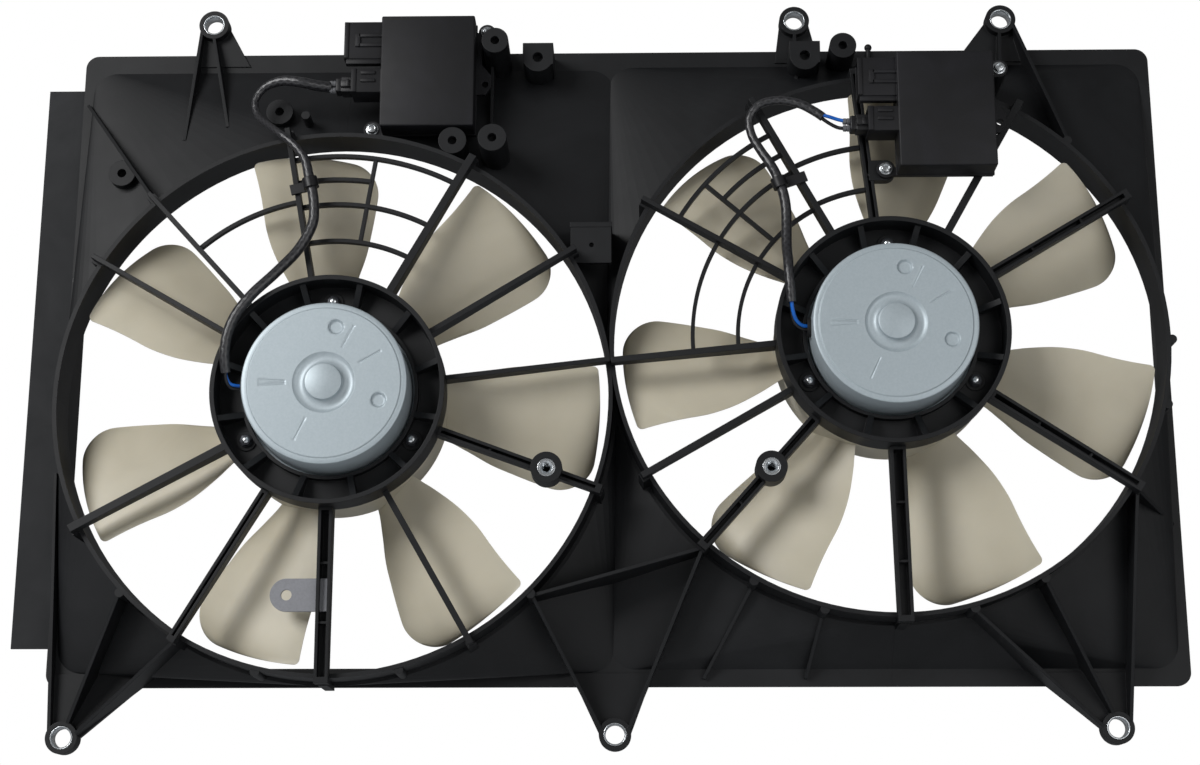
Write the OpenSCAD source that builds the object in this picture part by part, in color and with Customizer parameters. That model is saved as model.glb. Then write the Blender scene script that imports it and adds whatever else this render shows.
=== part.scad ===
// Twin-fan radiator cooling assembly: one moulded shroud, two motors, two fans, two control modules.
// Frame: +X to the right seen from the engine side, +Z up, -Y towards the engine.
// The origin is the centre of the lower middle fixing hole, on the face that meets the radiator.

/* [Fan rings] */
// Bore diameter of each ring in the shroud
ring_d = 360.2; // [340:0.1:380]
// Least wall between the two ring bores
ring_web = 5.5; // [5:0.1:30]
// Height of the right fan's axis above the left one's
fan_step = 38; // [0:0.5:60]
// Sideways place of the point midway between the two fan axes
mid_x = -1.65; // [-10:0.05:10]
// Length of the straight barrel round each fan
barrel_len = 25.6; // [22:0.1:40]

/* [Pan] */
// Wall of the moulded panels and barrels
wall = 2.8; // [2:0.1:3.2]
// Height of the panels from the mounting face to the back of the barrels
plenum_depth = 27.2; // [24:0.1:40]
// Thickness of the flange round the pan
flange_t = 3; // [2.5:0.1:4]
// Width of the flange strip along the pan's top and bottom
flange_w = 10; // [8:0.5:14]
// Width of the flange strip along the pan's left and right edges
flange_side = 7; // [6:0.5:10]
// Radius of the pan's four outer corners
corner_r = 9; // [4:0.5:12]
// From the left ring's bore to the pan's left edge
left_margin = 9.4; // [6:0.1:30]
// From the right ring's bore to the pan's right edge
right_margin = 13.7; // [6:0.1:30]
// From the right ring's bore to the pan's top edge
top_margin = 42.8; // [30:0.1:60]
// From the left ring's bore to the pan's bottom edge
bottom_margin = 3.5; // [3:0.1:30]

/* [Fixing tabs] */
// From the lower middle hole up to the pan's bottom edge
tab_drop = 31; // [24:0.5:45]
// From the pan's top edge up to the top holes
tab_rise = 20.5; // [16:0.5:40]
// Outer radius of a tab's boss
tab_r = 10.5; // [9.5:0.1:13]
// Length of a tab's boss and of its bush
tab_boss_len = 10; // [7:0.5:14]
// Thickness of a tab's plate
tab_t = 4; // [3:0.1:6]
// Outer diameter of the metal bush in each tab
bush_d = 15; // [14:0.1:16.5]
// Bore of the metal bush
bush_bore = 12.4; // [10:0.1:12.8]
// Gap between a bush and its hole
bush_fit = 0.05; // [0.02:0.01:0.1]
// Sideways places of the top tabs: the first from the left fan's axis, the others from the right one's
top_tab_x = [-98.79, -53.31, 91.29]; // [-160:0.01:150]
// Sideways place of the lower left tab from the left fan's axis
lower_left_x = -174.99; // [-178:0.01:-160]
// Height of the lower left hole above the middle one
lower_left_z = -1.7; // [-6:0.1:6]
// Sideways place of the lower right tab from the right fan's axis
lower_right_x = 143.09; // [125:0.01:165]
// Height of the lower right hole above the middle one
lower_right_z = 3.7; // [-6:0.1:6]

/* [Ribs and arms] */
// Thickness of the stiffening ribs
rib_t = 2.2; // [1.6:0.1:3]
// How far the motor arms stand in front of the rings at their outer ends
arm_depth = 8; // [6:0.5:12]
// How much deeper the arms are at the motor carrier
arm_gain = 4; // [0:0.5:8]
// Wall of the channel-shaped arms
channel_wall = 2; // [1.5:0.1:2.2]
// Angles of the left motor arms, anticlockwise from +X
left_arms = [149.5, 132.3, 100.8, 61.2, 32, 7, -20, -60, -90, -121, -151.8]; // [-180:0.1:180]
// Widths of the left motor arms
left_arm_w = [3, 3, 3.4, 5, 3.5, 3, 6, 4, 9, 5.5, 5]; // [2:0.1:12]
// Angles of the right motor arms
right_arms = [149.5, 118, 95.6, 60.4, 31, -33, -89, -131.8, -150.2, -174.8]; // [-180:0.1:180]
// Widths of the right motor arms
right_arm_w = [3, 4, 6, 5, 7, 7, 10, 7, 4, 4]; // [2:0.1:12]
// Width of the finger guard's rods
guard_w = 2.6; // [2:0.1:4]
// Depth of the finger guard's rods
guard_depth = 4; // [2.5:0.1:6]

/* [Motor carriers] */
// Width of the carrier ring, from the motor can's wall to its outer edge
carrier_width = 22.5; // [20.5:0.1:25]
// Depth of the carrier ring
carrier_depth = 22; // [18:0.5:26]
// From the mounting face to the back of the carrier ring
carrier_back = 54; // [52.9:0.1:56]
// Thickness of the carrier's floor
carrier_floor = 3; // [2.5:0.1:4]
// Wall of the carrier ring
carrier_wall = 3; // [2.4:0.1:4]
// Number of webs in the carrier ring
web_count = 12; // [12]
// Height of the collar round the motor
collar_depth = 9; // [6:0.5:11]
// Gap between a motor can and its carrier
can_gap = 2; // [1:0.1:3]

/* [Motors] */
// Diameter of the motor can
can_d = 106; // [104:0.1:107]
// Length of the can from its flange to its closed face
can_len = 36; // [34:0.5:40]
// Wall of the can
can_wall = 2; // [1.6:0.1:2.4]
// Diameter of the shaft
shaft_d = 8; // [7:0.1:8.6]
// Radial running gap between the shaft and its bearings
shaft_gap = 0.03; // [0.02:0.01:0.08]
// Outer diameter of the bearings
bearing_d = 16; // [15:0.1:17]
// Length of a bearing
bearing_len = 7; // [5:0.1:7.2]
// Gap between a bearing and its seat
bearing_fit = 0.04; // [0.02:0.01:0.1]
// Air gap between the armature and the field magnets
air_gap = 2; // [0.8:0.1:3]
// Length of the armature core
core_len = 22; // [18:0.5:24]
// Number of slots in the armature core
slot_count = 12; // [8:1:14]
// Thickness of the field magnets
magnet_t = 7.4; // [6:0.1:8]
// Diameter of the commutator
commutator_d = 24; // [22:0.1:26]
// Depth of the end plate behind the can's flange
end_depth = 12; // [11:0.5:13]
// Distance of the three motor screws from the can's wall
screw_out = 9; // [8:0.1:10]
// Thread diameter of the motor screws
screw_d = 5; // [4:0.1:5.4]

/* [Fans] */
// Number of blades
blade_count = 7; // [5:1:8]
// Gap between a blade's tip and its ring
tip_gap = 5.6; // [3:0.1:9]
// Outer radius of the fan hub
hub_r = 74; // [72:0.1:76]
// Depth of the fan hub
hub_depth = 32; // [30:0.5:33]
// Wall of the fan hub
hub_wall = 2.6; // [2:0.1:3.2]
// Gap between the arms and the front of the fan
fan_gap = 5.8; // [5:0.1:8]
// Depth of a blade along the axis at its root
root_depth = 29; // [24:0.5:30]
// Depth of a blade along the axis at its tip
tip_depth = 27; // [20:0.5:30]
// Thickness of a blade at its middle
blade_t = 2.6; // [2:0.1:4]
// Bulge of a blade's curved section
camber = 3.5; // [0:0.1:5]
// Angle of one of the left fan's blades as the photograph shows it
left_blade_angle = -57.5; // [-180:0.5:180]
// Angle of one of the right fan's blades as the photograph shows it
right_blade_angle = -70.5; // [-180:0.5:180]

/* [Control modules] */
// Width and height of a module's case
case_size = [63.8, 80]; // [63:0.1:90]
// Depth of a module's case
case_depth = 20; // [17:0.5:24]
// Wall of a module's case
case_wall = 1.8; // [1.4:0.1:2.4]
// Thickness of a module's base plate
base_t = 3; // [2.5:0.1:4]
// Thread diameter of the module screws
module_screw_d = 4.2; // [3.5:0.1:4.6]
// Reach and height of the harness socket beside the case
harness_socket = [25.6, 27]; // [18:0.1:30]
// Reach and height of the motor lead's socket beside the case
lead_socket = [19.8, 17.1]; // [17:0.1:22]
// Wall of the sockets
socket_wall = 1.6; // [1.2:0.1:2]
// Depth of the harness socket front to back
harness_depth = 14; // [12:0.5:16]
// Length of a module screw under its washer
module_screw_len = 10; // [8:0.5:10.5]

/* [Leads and trim] */
// Diameter of a motor lead's sheath
lead_d = 7; // [5:0.1:7.2]
// Gap round a lead where it passes a grommet, plug or clip
lead_gap = 0.1; // [0.05:0.01:0.3]
// Width of the baffle strip that shows beside the pan
baffle_w = 25.4; // [15:0.1:40]
// Thickness of the baffle strip
baffle_t = 2; // [1.2:0.1:3]
// Diameter of the threaded inserts
insert_d = 12; // [10:0.1:14]
// Bore of the threaded inserts
insert_bore = 6; // [5:0.1:8]

/* [Hidden] */
$fn = 96;
// Segments of a curve that is a child of a hull
soft = 48;
// Overlap that joins shapes of one moulding, and the depth by which a cut runs past a face
eps = 0.5;
// Depth by which a rib is sunk into the shape that carries it
sink = 1;
// Step that keeps the faces of two joined shapes out of one plane
shy = 0.4;

// Colours
black_plastic = "#26272a";
cream_plastic = "#c3bda9";
zinc = "#b3bec3";
steel = "#8c8c91";
copper = "#b06a3b";

// Rings and pan, worked out from the sizes above
ring_r = ring_d / 2;
barrel_r = ring_r + wall;
axis_dx = sqrt(pow(ring_d + ring_web, 2) - pow(fan_step, 2));
left_axis = [mid_x - axis_dx / 2, tab_drop + bottom_margin + ring_r];
right_axis = [mid_x + axis_dx / 2, left_axis[1] + fan_step];
rim_y = -(plenum_depth + barrel_len);
pan_x0 = left_axis[0] - ring_r - left_margin;
pan_x1 = right_axis[0] + ring_r + right_margin;
pan_w = pan_x1 - pan_x0;
pan_z0 = tab_drop;
pan_z1 = right_axis[1] + ring_r + top_margin;
funnel_lip = 2.4;
throat_lip = 1.2;
funnel_corner = 7;
// Depth by which a barrel reaches back into its funnel
barrel_root = 5;
// Hairline that parts the pan and each barrel into four corners
kerf = 0.06;
// Square nubs behind the arms' outer ends, and round posts where the shroud's own ribs start
nub_out = 4.6;
nub_w = 6;
nub_back = -20;
post_r = 3;
left_rim_angles = [-135.8, -103.6, -75, -44.8];
right_rim_angles = [-119.7, -104.7, -74.8, -59.5, -14.3, -0.6, 47.8];
left_top = left_axis + [0, ring_r];
right_top = right_axis + [0, ring_r];
tab_z = pan_z1 + tab_rise;
tabs = [
    [left_axis[0] + top_tab_x[0], tab_z], [right_axis[0] + top_tab_x[1], tab_z],
    [right_axis[0] + top_tab_x[2], tab_z], [left_axis[0] + lower_left_x, lower_left_z],
    [0, 0], [right_axis[0] + lower_right_x, lower_right_z]
];
// How far each tab's plate spreads to its left and right where it meets the pan
tab_spread = [[14, 26], [14, 17], [32, 15], [12, 59], [29, 25], [53, 9]];
tab_overlap = 9;

// Arms and carriers
arm_back = rim_y;
arm_front = rim_y - arm_depth;
hub_front = arm_front - arm_gain;
can_r = can_d / 2;
carrier_r = can_r + carrier_width;
screw_reach = can_r + screw_out;
arm_in = carrier_r - carrier_wall / 2;
arm_out = barrel_r + nub_out - 0.6;
// An arm that ends on the web between the rings stops at this reach
web_end = ring_r + ring_web / 2 - 0.4;
// Front of the right frame's two arms that pass behind the control module
low_front = rim_y - 6.7;
low_arms = [2, 3];
left_fronts = [for (a = left_arms) hub_front];
right_fronts = [for (i = [0:len(right_arms) - 1]) i == low_arms[0] || i == low_arms[1] ? low_front : hub_front];
// Places along an arm of the cross webs in its channel
cross_webs = [110, 148];
cross_web_t = 1.6;
// Arms at least this wide are channels; the floor left behind the channel
channel_from = 5.5;
channel_floor = 2;
carrier_y = -carrier_back;
carrier_front = carrier_y - carrier_depth;
collar_front = carrier_y - collar_depth;
pocket_r = can_r + can_gap;
collar_r = pocket_r + 2.4;
web_t = 4;
web_drop = 3;
screw_angles = [90, 210, 330];
// Round pad under each motor screw: radius, and how far it stands on the carrier's floor
pad_r = 6.5;
pad_rise = 1;
insert_r = insert_d / 2;
insert_boss_r = insert_r + 4.2;
insert_len = 14;
// How far an insert's ends stay inside its boss
insert_set = 2;
left_insert = [149.7, -20];
right_insert = [119.4, -131.8];
// Finger guards: radius, start angle and end angle of each arc
left_guard = [
    [164.5, left_arms[3], left_arms[2]], [148, 81.3, left_arms[2]],
    [134.8, left_arms[2], left_arms[1]], [130.5, left_arms[3], left_arms[2]],
    [105, left_arms[3], left_arms[2]]
];
left_guard_rib = [81.3, 105, 164.5];
right_guard = [
    [159, right_arms[1], right_arms[0]], [143, right_arms[1], 138.6],
    [128.5, right_arms[1], 185.2], [99, right_arms[1], 185.2],
    [131.4, right_arms[2], right_arms[1]], [101.4, right_arms[2], right_arms[1]]
];
right_guard_rib = [138.6, 99, 159];

// Motors: places along Y
can_y = carrier_y;
can_front = can_y - can_len;
ear_t = 2.5;
can_flange = 4;
// Front boss: radius and how far it stands out; the pressed groove round it; the step near the face's edge
nose_r = 12;
nose_out = 3;
groove_r = [14.5, 20];
groove_deep = 0.8;
edge_step = [4, 0.6];
// Two round dimples in the face: places, radius and depth; pressed lines: start, end and angle
dimples = [[37, 79.5], [37, -18.5]];
dimple_r = 4.6;
dimple_deep = 0.9;
pressed_lines = [[24, 40, 178], [24, 40, 182], [25, 42, 249], [26, 42, 65], [26, 42, 22]];
pressed_w = 0.9;
flange_y = can_y + ear_t;
end_y = flange_y + end_depth;
end_wall = 1.6;
cup_inset = 5;
// How far a bearing stands back from its stop
bearing_set = 0.8;
front_seat = can_front - 1.5;
front_collar_y = front_seat + bearing_len + 0.5;
rear_seat = end_y + 3.5;
collar_out = bearing_d / 2 + 3.6;
shaft_r = shaft_d / 2;
magnet_fit = 0.1;
magnet_half = 37;
magnet_over = 2;
core_r = can_r - can_wall - magnet_fit - magnet_t - air_gap;
slot_r = core_r - 9;
slot_hole_r = 5.2;
slot_mouth = 2.4;
// The windings: bars in the slots, and a ring at each end of the core
winding_r = 4.6;
winding_end = 4;
winding_inner = 17;
core_front = can_front + can_wall + 6;
commutator_front = flange_y - 2;
commutator_len = 8;
cut_depth = 1.2;
cut_w = 0.6;
brush_w = 7;
brush_h = 5;
brush_len = 10;
brush_y = commutator_front + commutator_len / 2;
card_t = 2;
card_y = end_y - end_wall;
card_r = can_r - 12;
box_wall = 1.4;
box_end = commutator_d / 2 + 18;
brush_fit = 0.1;
brush_gap = 0.3;

// Fans: places along Y
fan_front = rim_y + fan_gap;
hub_back = fan_front + hub_depth;
hub_floor = 3;
boss_front = rear_seat + 1.6;
boss_r = 11;
// Ribs inside the hub: how many, thickness, and how far forward each reaches at the boss and at the skirt
hub_ribs = 8;
hub_rib_t = 2;
hub_rib_rise = [9, 14];
washer_t = 1.5;
washer_r = 9;
nut_t = 5;
nut_r = 7.5;
shaft_tail = 2.5;
fan_tip_r = ring_r - tip_gap;

// Modules: lower left corner of each case, and the Y of its back face
base_gap = 0.8;
left_case_at = left_top + [25.31, 8.5];
left_case_back = -plenum_depth - base_gap - base_t;
right_case_at = right_top + [7.29, -72.1];
right_case_back = low_front - 0.5 - base_t;
// Places on a module from its case's lower left corner
ears = [[-7, 4.9], case_size + [7.1, -4.2]];
ear_r = 6;
// Boss on the right motor frame that carries the module, and its link to the arm beside it
frame_boss_r = 7;
boss_link = 11;
case_corner = 2.5;
// Tongue of the base plate, from the case's right edge
tongue = [[-0.8, 30], [6.2, 30], [10.2, 36], [10.2, 44], [3.7, 52], [3.7, 72], [-0.8, 76]];
tongue_hole = [6, 37.5];
tongue_hole_r = 2.2;
harness_up = 50;
lead_up = 24.5;
plug_up = 32;
// Motor lead's plug: height, depth, how far it stands out of its socket, and the depth of its lead hole
plug_h = 11;
plug_depth = 11;
plug_out = 12.5;
plug_grip = 4;
// Thickness of the wall between a socket and the case's inside
socket_end = 2;
// Closest distance kept between pieces that don't touch
clear = 0.4;

// Bosses on the panels: place, front face, outer radius
// The tall and the centre boss stand beside the left module
tall_boss = left_top + [102.71, -4.7];
centre_boss = left_case_at + case_size + [13.8, -18];
round_bosses = [
    [pan_x0 + 35.91, left_top[1] - 15.2, -26, 9.2], [left_top[0] - 46.69, left_top[1] + 28.7, -27, 9.2],
    [left_top[0] + 74.91, left_top[1] - 1.6, -49, 9.5], [tall_boss[0], tall_boss[1], -62, 9.6],
    [centre_boss[0], centre_boss[1], -50, 9.1], [right_top[0] - 22.21, right_top[1] + 33.9, -34, 9.2]
];
square_bosses = [
    [left_top[0] + 131.41, left_top[1] + 65.6, -32, 10.5], [right_top[0] - 48.31, right_top[1] + 27.6, -32, 10.5]
];
pilot_r = 3;
pilot_depth = 6.5;
square_pilot_r = 3.6;
// Locating post beside the left lead, and a ball-ended peg at the right module's corner
lead_post = left_top + [-26.69, 21.6];
lead_post_front = -38;
peg_at = right_top + [-1.51, 44.8];
peg_r = 1.8;
peg_ball_r = 2.6;
peg_len = 22;
peg_y = -4;
// Back of the bosses, inside the flange that carries them
boss_back = -flange_t / 2;
// Ledge above the point where the rings meet: its left end, width, top, front, height of its front wall
ledge_at = [mid_x - 27.35, left_top[1] - 62.7];
ledge_w = 28;
ledge_t = 3.5;
ledge_front = -46;
ledge_drop = 25;
ledge_hole_r = 1.6;

// Motor leads: where each enters its motor, and the route between plug and motor
lead_sides = 12;
grommet_y = -72;
left_grommet_z = left_axis[1] + 1.4;
right_grommet_z = right_axis[1] + 1.4;
grommet_out = 2.4;
grommet_neck = 1.5;
grommet_lip = 1.4;
// The fan axes that the routes' points were chosen for; the points move with the axes
left_route_axis = [-183.51, 214.6];
right_route_axis = [180.21, 252.6];
left_route = concat(lead_start(left_case_at, left_case_back), moved(left_axis - left_route_axis, [
    [-203, -45, 435], [-212, -48, 436], [-226, -46, 438], [-238, -44, 434], [-244, -44, 424],
    [-241, -47, 412], [-232, -56, 402], [-222, -65, 392], [-212, -68, 383], [-204.5, -68.5, 373],
    [-201.5, -68.5, 362], [-198.5, -68.5, 350], [-197, -68.5, 338], [-198, -69, 326],
    [-206, -71, 309], [-219, -76, 292], [-233, -80.5, 276], [-243, -81.2, 262], [-248, -80.8, 249],
    [-249.5, -79.5, 238], [-249.3, -78, 230], [-248.7, -76.5, 224.5], [-248, -75, 221.2],
    [-246.2, -73.4, 218.5], [-243.4, -72.3, 216.6]
]), lead_end(left_axis, left_grommet_z));
right_route = concat(lead_start(right_case_at, right_case_back), moved(right_axis - right_route_axis, [
    [142, -72.5, 396.5], [134, -72, 402.5], [124, -71, 408.5], [111, -69, 412], [98, -67, 410],
    [91, -66, 401], [92, -66, 389], [98, -67, 377], [103, -68.8, 368.5], [107.4, -69, 360],
    [111.6, -69, 348], [113.4, -69, 337], [113.5, -70, 325], [113, -73.5, 309], [113.3, -78.5, 298],
    [113.5, -80.8, 289], [114.2, -81, 279.5], [114.8, -79.6, 269], [115, -77, 262.5],
    [115.7, -75, 259.2], [117.5, -73.2, 256.5], [120.3, -72.2, 254.7]
]), lead_end(right_axis, right_grommet_z));
// The clips' segments of the two routes
left_clip_at = 12;
right_clip_at = 11;
clip_len = 7;
clip_wall = 1.5;
clip_plate = 1.8;

function moved(by, points) = [for (p = points) [p[0] + by[0], p[1], p[2] + by[1]]];
function grommet_x(axis, z) = axis[0] - sqrt(pow(can_r, 2) - pow(z - axis[1], 2));
function module_mid(back) = back - case_depth / 2;
function plug_mouth(at) = at[0] - lead_socket[0] - plug_out;
function lead_start(at, back) = [
    [plug_mouth(at) + plug_grip, module_mid(back), at[1] + plug_up],
    [plug_mouth(at) - 3.5, module_mid(back), at[1] + plug_up]
];
function lead_end(axis, z) = [
    [grommet_x(axis, z) - grommet_out - 1.3, grommet_y, z],
    [grommet_x(axis, z) + 1.6, grommet_y, z]
];

// Flat outlines stand in the X-Z plane; a slab carries one forward from its back face
module slab(back, depth) {
    translate([0, back, 0]) rotate([90, 0, 0]) linear_extrude(depth) children();
}

module ring2d(outer, inner) {
    difference() {
        circle(outer);
        circle(inner);
    }
}

module at_polar(axis, reach, angle) {
    translate([axis[0] + reach * cos(angle), 0, axis[1] + reach * sin(angle)]) children();
}

// A plate from point p to point q, with its own front height at each end
module rib(p, q, front_p, front_q, back, thick) {
    run = norm(q - p);
    translate([p[0], 0, p[1]])
        rotate([0, -atan2(q[1] - p[1], q[0] - p[0]), 0])
            translate([0, 0, -thick / 2])
                linear_extrude(thick) polygon([[0, front_p], [run, front_q], [run, back], [0, back]]);
}

function polar(axis, reach, angle) = [axis[0] + reach * cos(angle), axis[1] + reach * sin(angle)];

module box2d(x0, z0, x1, z1, r) {
    translate([x0 + r, z0 + r]) square([x1 - x0 - 2 * r, z1 - z0 - 2 * r]);
    translate([x0, z0 + r]) square([x1 - x0, z1 - z0 - 2 * r]);
    translate([x0 + r, z0]) square([x1 - x0 - 2 * r, z1 - z0]);
    for (x = [x0 + r, x1 - r], z = [z0 + r, z1 - r]) translate([x, z]) circle(r);
}

// A funnel's solid: a rounded rectangle at one height blended to a circle at another
module funnel(x0, x1, z0, z1, y0, axis, r, y1, corner) {
    thin = 0.2;
    hull() {
        slab(y0, thin)
            for (x = [x0 + corner, x1 - corner], z = [z0 + corner, z1 - corner])
                translate([x, z]) circle(corner, $fn = soft);
        slab(y1 + thin, thin) translate(axis) circle(r, $fn = 2 * soft);
    }
}

module both_funnels(inset, y0, grow, y1) {
    x0 = pan_x0 + flange_side + inset;
    x1 = pan_x1 - flange_side - inset;
    z0 = pan_z0 + flange_w + inset;
    z1 = pan_z1 - flange_w - inset;
    corner = funnel_corner - inset;
    overlap = wall / 2 - inset;
    funnel(x0, mid_x + overlap, z0, z1, y0, left_axis, ring_r + grow, y1, corner);
    funnel(mid_x - overlap, x1, z0, z1, y0, right_axis, ring_r + grow, y1, corner);
}

module tab_plates() {
    for (i = [0:len(tabs) - 1]) {
        hole = tabs[i];
        top = hole[1] > pan_z1;
        edge = top ? pan_z1 - tab_overlap : pan_z0 + tab_overlap;
        side = 0.96 * tab_r;
        slab(0, tab_t) polygon([
            [hole[0] - side, hole[1]], [hole[0] + side, hole[1]],
            [hole[0] + tab_spread[i][1], edge], [hole[0] - tab_spread[i][0], edge]
        ]);
        slab(0, tab_boss_len) translate(hole) circle(tab_r);
    }
}

// Upright ribs: start, end, and the front height at each. Those that meet a rim start inside its post or nub.
rib_back = -flange_t / 2;
at_rim = rim_y + 2;
at_tab = shy - tab_boss_len;
at_panel = -20;
at_strip = -6;
rib_reach = barrel_r + nub_out / 2;
tab_in = 0.8 * tab_r;

function rim_point(axis, angle) = polar(axis, rib_reach, angle);

shroud_rib_list = [
    // Lower left tab
    [rim_point(left_axis, left_rim_angles[0]), tabs[3] + [3, tab_in], at_rim, at_tab],
    [rim_point(left_axis, left_arms[9]), tabs[3] + [tab_in, 2], at_rim, at_tab],
    [[pan_x0 + 1.6, left_axis[1] - 43], tabs[3] + [-tab_in, 3], -18, at_tab],
    // Lower middle tab
    [rim_point(left_axis, left_rim_angles[3]), tabs[4] + [-tab_in, 2], at_rim, at_tab],
    [rim_point(right_axis, right_arms[7]), tabs[4] + [tab_in, 2], at_rim, at_tab],
    [rim_point(left_axis, left_rim_angles[3]), rim_point(right_axis, right_arms[7]), at_rim, at_rim],
    // Lower right tab
    [rim_point(right_axis, right_rim_angles[2]), tabs[5] + [-tab_in, 0], at_rim, at_tab],
    [rim_point(right_axis, right_rim_angles[3]), tabs[5] + [-2, tab_in], at_rim, at_tab],
    [rim_point(right_axis, right_arms[5]), tabs[5] + [tab_in, 2], at_rim, at_tab],
    [rim_point(right_axis, right_arms[5]), [pan_x1 - 5, right_axis[1] - 116], at_rim, -5],
    // Short ribs below the right ring
    [rim_point(right_axis, right_rim_angles[0]), [right_axis[0] - 122.5, pan_z0 + 5], -34, at_strip],
    [rim_point(right_axis, right_rim_angles[1]), [right_axis[0] - 56.2, pan_z0 + 5], -34, at_strip],
    // Top tabs
    [tabs[0] + [-tab_in, -4], tabs[0] + [-14.5, -90.4], at_tab, at_panel],
    [tabs[0] + [0, -tab_in], tabs[0] + [15.5, -82.4], at_tab, at_panel],
    [tabs[1] + [0, -tab_in], tabs[1] + [0, -60.5], at_tab, at_panel],
    [tabs[2] + [-1, -tab_in], tabs[2] + [-4, -54.5], at_tab, at_panel],
    [tabs[2] + [tab_in, -3], rim_point(right_axis, right_rim_angles[6]), at_tab, at_rim],
    // Top left corner, and between the tall and the centre boss
    [rim_point(left_axis, left_arms[1]), [pan_x0 + 4, pan_z1 - 38], at_rim, at_strip],
    [tall_boss + [-3.2, 5], centre_boss + [-3.4, -5], -24, -24]
];

module left_nubs() {
    for (a = left_arms) rib_nub(left_axis, a);
    for (a = left_rim_angles) rim_post(left_axis, a);
}

module right_nubs() {
    for (a = right_arms) rib_nub(right_axis, a);
    for (a = right_rim_angles) rim_post(right_axis, a);
}

module rib_nub(axis, angle) {
    rib(polar(axis, barrel_r - sink, angle), polar(axis, barrel_r + nub_out, angle),
        rim_y + shy, rim_y + shy, nub_back, nub_w);
}

module rim_post(axis, angle) {
    at_polar(axis, barrel_r + sink, angle) slab(nub_back, nub_back - rim_y - shy) circle(post_r);
}

module ledge() {
    slab(at_panel, at_panel - ledge_front) translate(ledge_at) square([ledge_w, ledge_t]);
    slab(ledge_front + ledge_t, ledge_t - shy) translate(ledge_at - [-shy, ledge_drop]) difference() {
        square([ledge_w - 2 * shy, ledge_drop + sink]);
        translate([ledge_w, ledge_drop] / 2) circle(ledge_hole_r);
    }
}

// The pan and its barrels before they are hollowed
module pan_shell() {
    slab(0, flange_t) box2d(pan_x0, pan_z0, pan_x1, pan_z1, corner_r);
    both_funnels(0, -flange_t / 2, wall + funnel_lip, -plenum_depth);
}

module barrel_shell(axis) {
    slab(barrel_root - plenum_depth, barrel_root - plenum_depth - rim_y) translate(axis) circle(barrel_r);
}

module ring_bores() {
    for (axis = [left_axis, right_axis])
        slab(wall + eps - plenum_depth, 2 * barrel_len) translate(axis) circle(ring_r);
}

// Half of the pan, from x0 to x1, in four corners round its ring
module pan(axis, x0, x1) {
    difference() {
        pan_shell();
        both_funnels(wall, eps, throat_lip, wall - plenum_depth);
        ring_bores();
        module_holes();
        baffle_holes();
        slab(pan_w, 2 * pan_w) {
            translate([x1, 0]) square([pan_w, pan_w]);
            translate([x0 - pan_w, 0]) square([pan_w, pan_w]);
            translate([axis[0] - kerf / 2, 0]) square([kerf, pan_w]);
            translate([x0 - eps, axis[1] - kerf / 2]) square([pan_w, kerf]);
        }
    }
}

// The pan: the flange round the radiator's face, and the panels that lead the air to the rings
module left_pan() color(black_plastic) pan(left_axis, pan_x0 - eps, mid_x);
module right_pan() color(black_plastic) pan(right_axis, mid_x, pan_x1 + eps);

module cross_cut(axis) {
    slab(pan_w, 2 * pan_w) {
        translate([axis[0] - kerf / 2, 0]) square([kerf, pan_w]);
        translate([axis[0] - ring_d, axis[1] - kerf / 2]) square([2 * ring_d, kerf]);
    }
}

module left_barrel() {
    color(black_plastic)
    difference() {
        union() {
            barrel_shell(left_axis);
            difference() {
                left_nubs();
                barrel_shell(right_axis);
            }
        }
        pan_shell();
        ring_bores();
        cross_cut(left_axis);
    }
}

module right_barrel() {
    color(black_plastic)
    difference() {
        union() {
            barrel_shell(right_axis);
            difference() {
                right_nubs();
                left_nubs();
            }
        }
        pan_shell();
        barrel_shell(left_axis);
        ring_bores();
        cross_cut(right_axis);
    }
}

// Fixing tabs with the ribs that brace them, and the ledge between the rings
module shroud_ribs() {
    color(black_plastic)
    difference() {
        union() {
            tab_plates();
            for (r = shroud_rib_list)
                rib(r[0], r[1], r[2], r[3], rib_back, rib_t);
            ledge();
        }
        pan_shell();
        barrel_shell(left_axis);
        barrel_shell(right_axis);
        left_nubs();
        right_nubs();
        for (hole = tabs)
            slab(eps, tab_boss_len + 2 * eps) translate(hole) circle(bush_d / 2 + bush_fit);
    }
}

// What the bosses stand on
module shroud_shell() {
    pan_shell();
    barrel_shell(left_axis);
    barrel_shell(right_axis);
    tab_plates();
    for (r = shroud_rib_list)
        rib(r[0], r[1], r[2], r[3], rib_back, rib_t);
    left_nubs();
    right_nubs();
}

// Bosses that stand on the panels
module panel_bosses() {
    for (b = round_bosses)
        slab(boss_back, boss_back - b[2]) translate([b[0], b[1]]) circle(b[3]);
    for (b = square_bosses)
        slab(boss_back, boss_back - b[2]) translate([b[0], b[1]]) {
            circle(b[3]);
            translate([0, -b[3] / 2]) square([b[3], 1.5 * b[3]]);
            translate([-b[3], 0]) square([2 * b[3], b[3]]);
        }
    base_back = left_case_back + base_t;
    slab(boss_back, boss_back - base_back) translate(left_case_at + ears[0]) circle(ear_r);
    slab(boss_back, boss_back - base_back) translate(left_case_at + ears[1]) {
        circle(ear_r);
        translate([-ear_r, -2 * ear_r]) square([2 * ear_r, 2 * ear_r]);
    }
    slab(boss_back, boss_back - right_case_back - base_t) translate(right_case_at + ears[1]) circle(ear_r);
    slab(boss_back, boss_back - lead_post_front) translate(lead_post) circle(post_r);
    translate([peg_at[0], peg_y, peg_at[1] - peg_len]) cylinder(h = peg_len, r = peg_r);
    translate([peg_at[0], peg_y, peg_at[1]]) sphere(peg_ball_r, $fn = soft);
}

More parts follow.
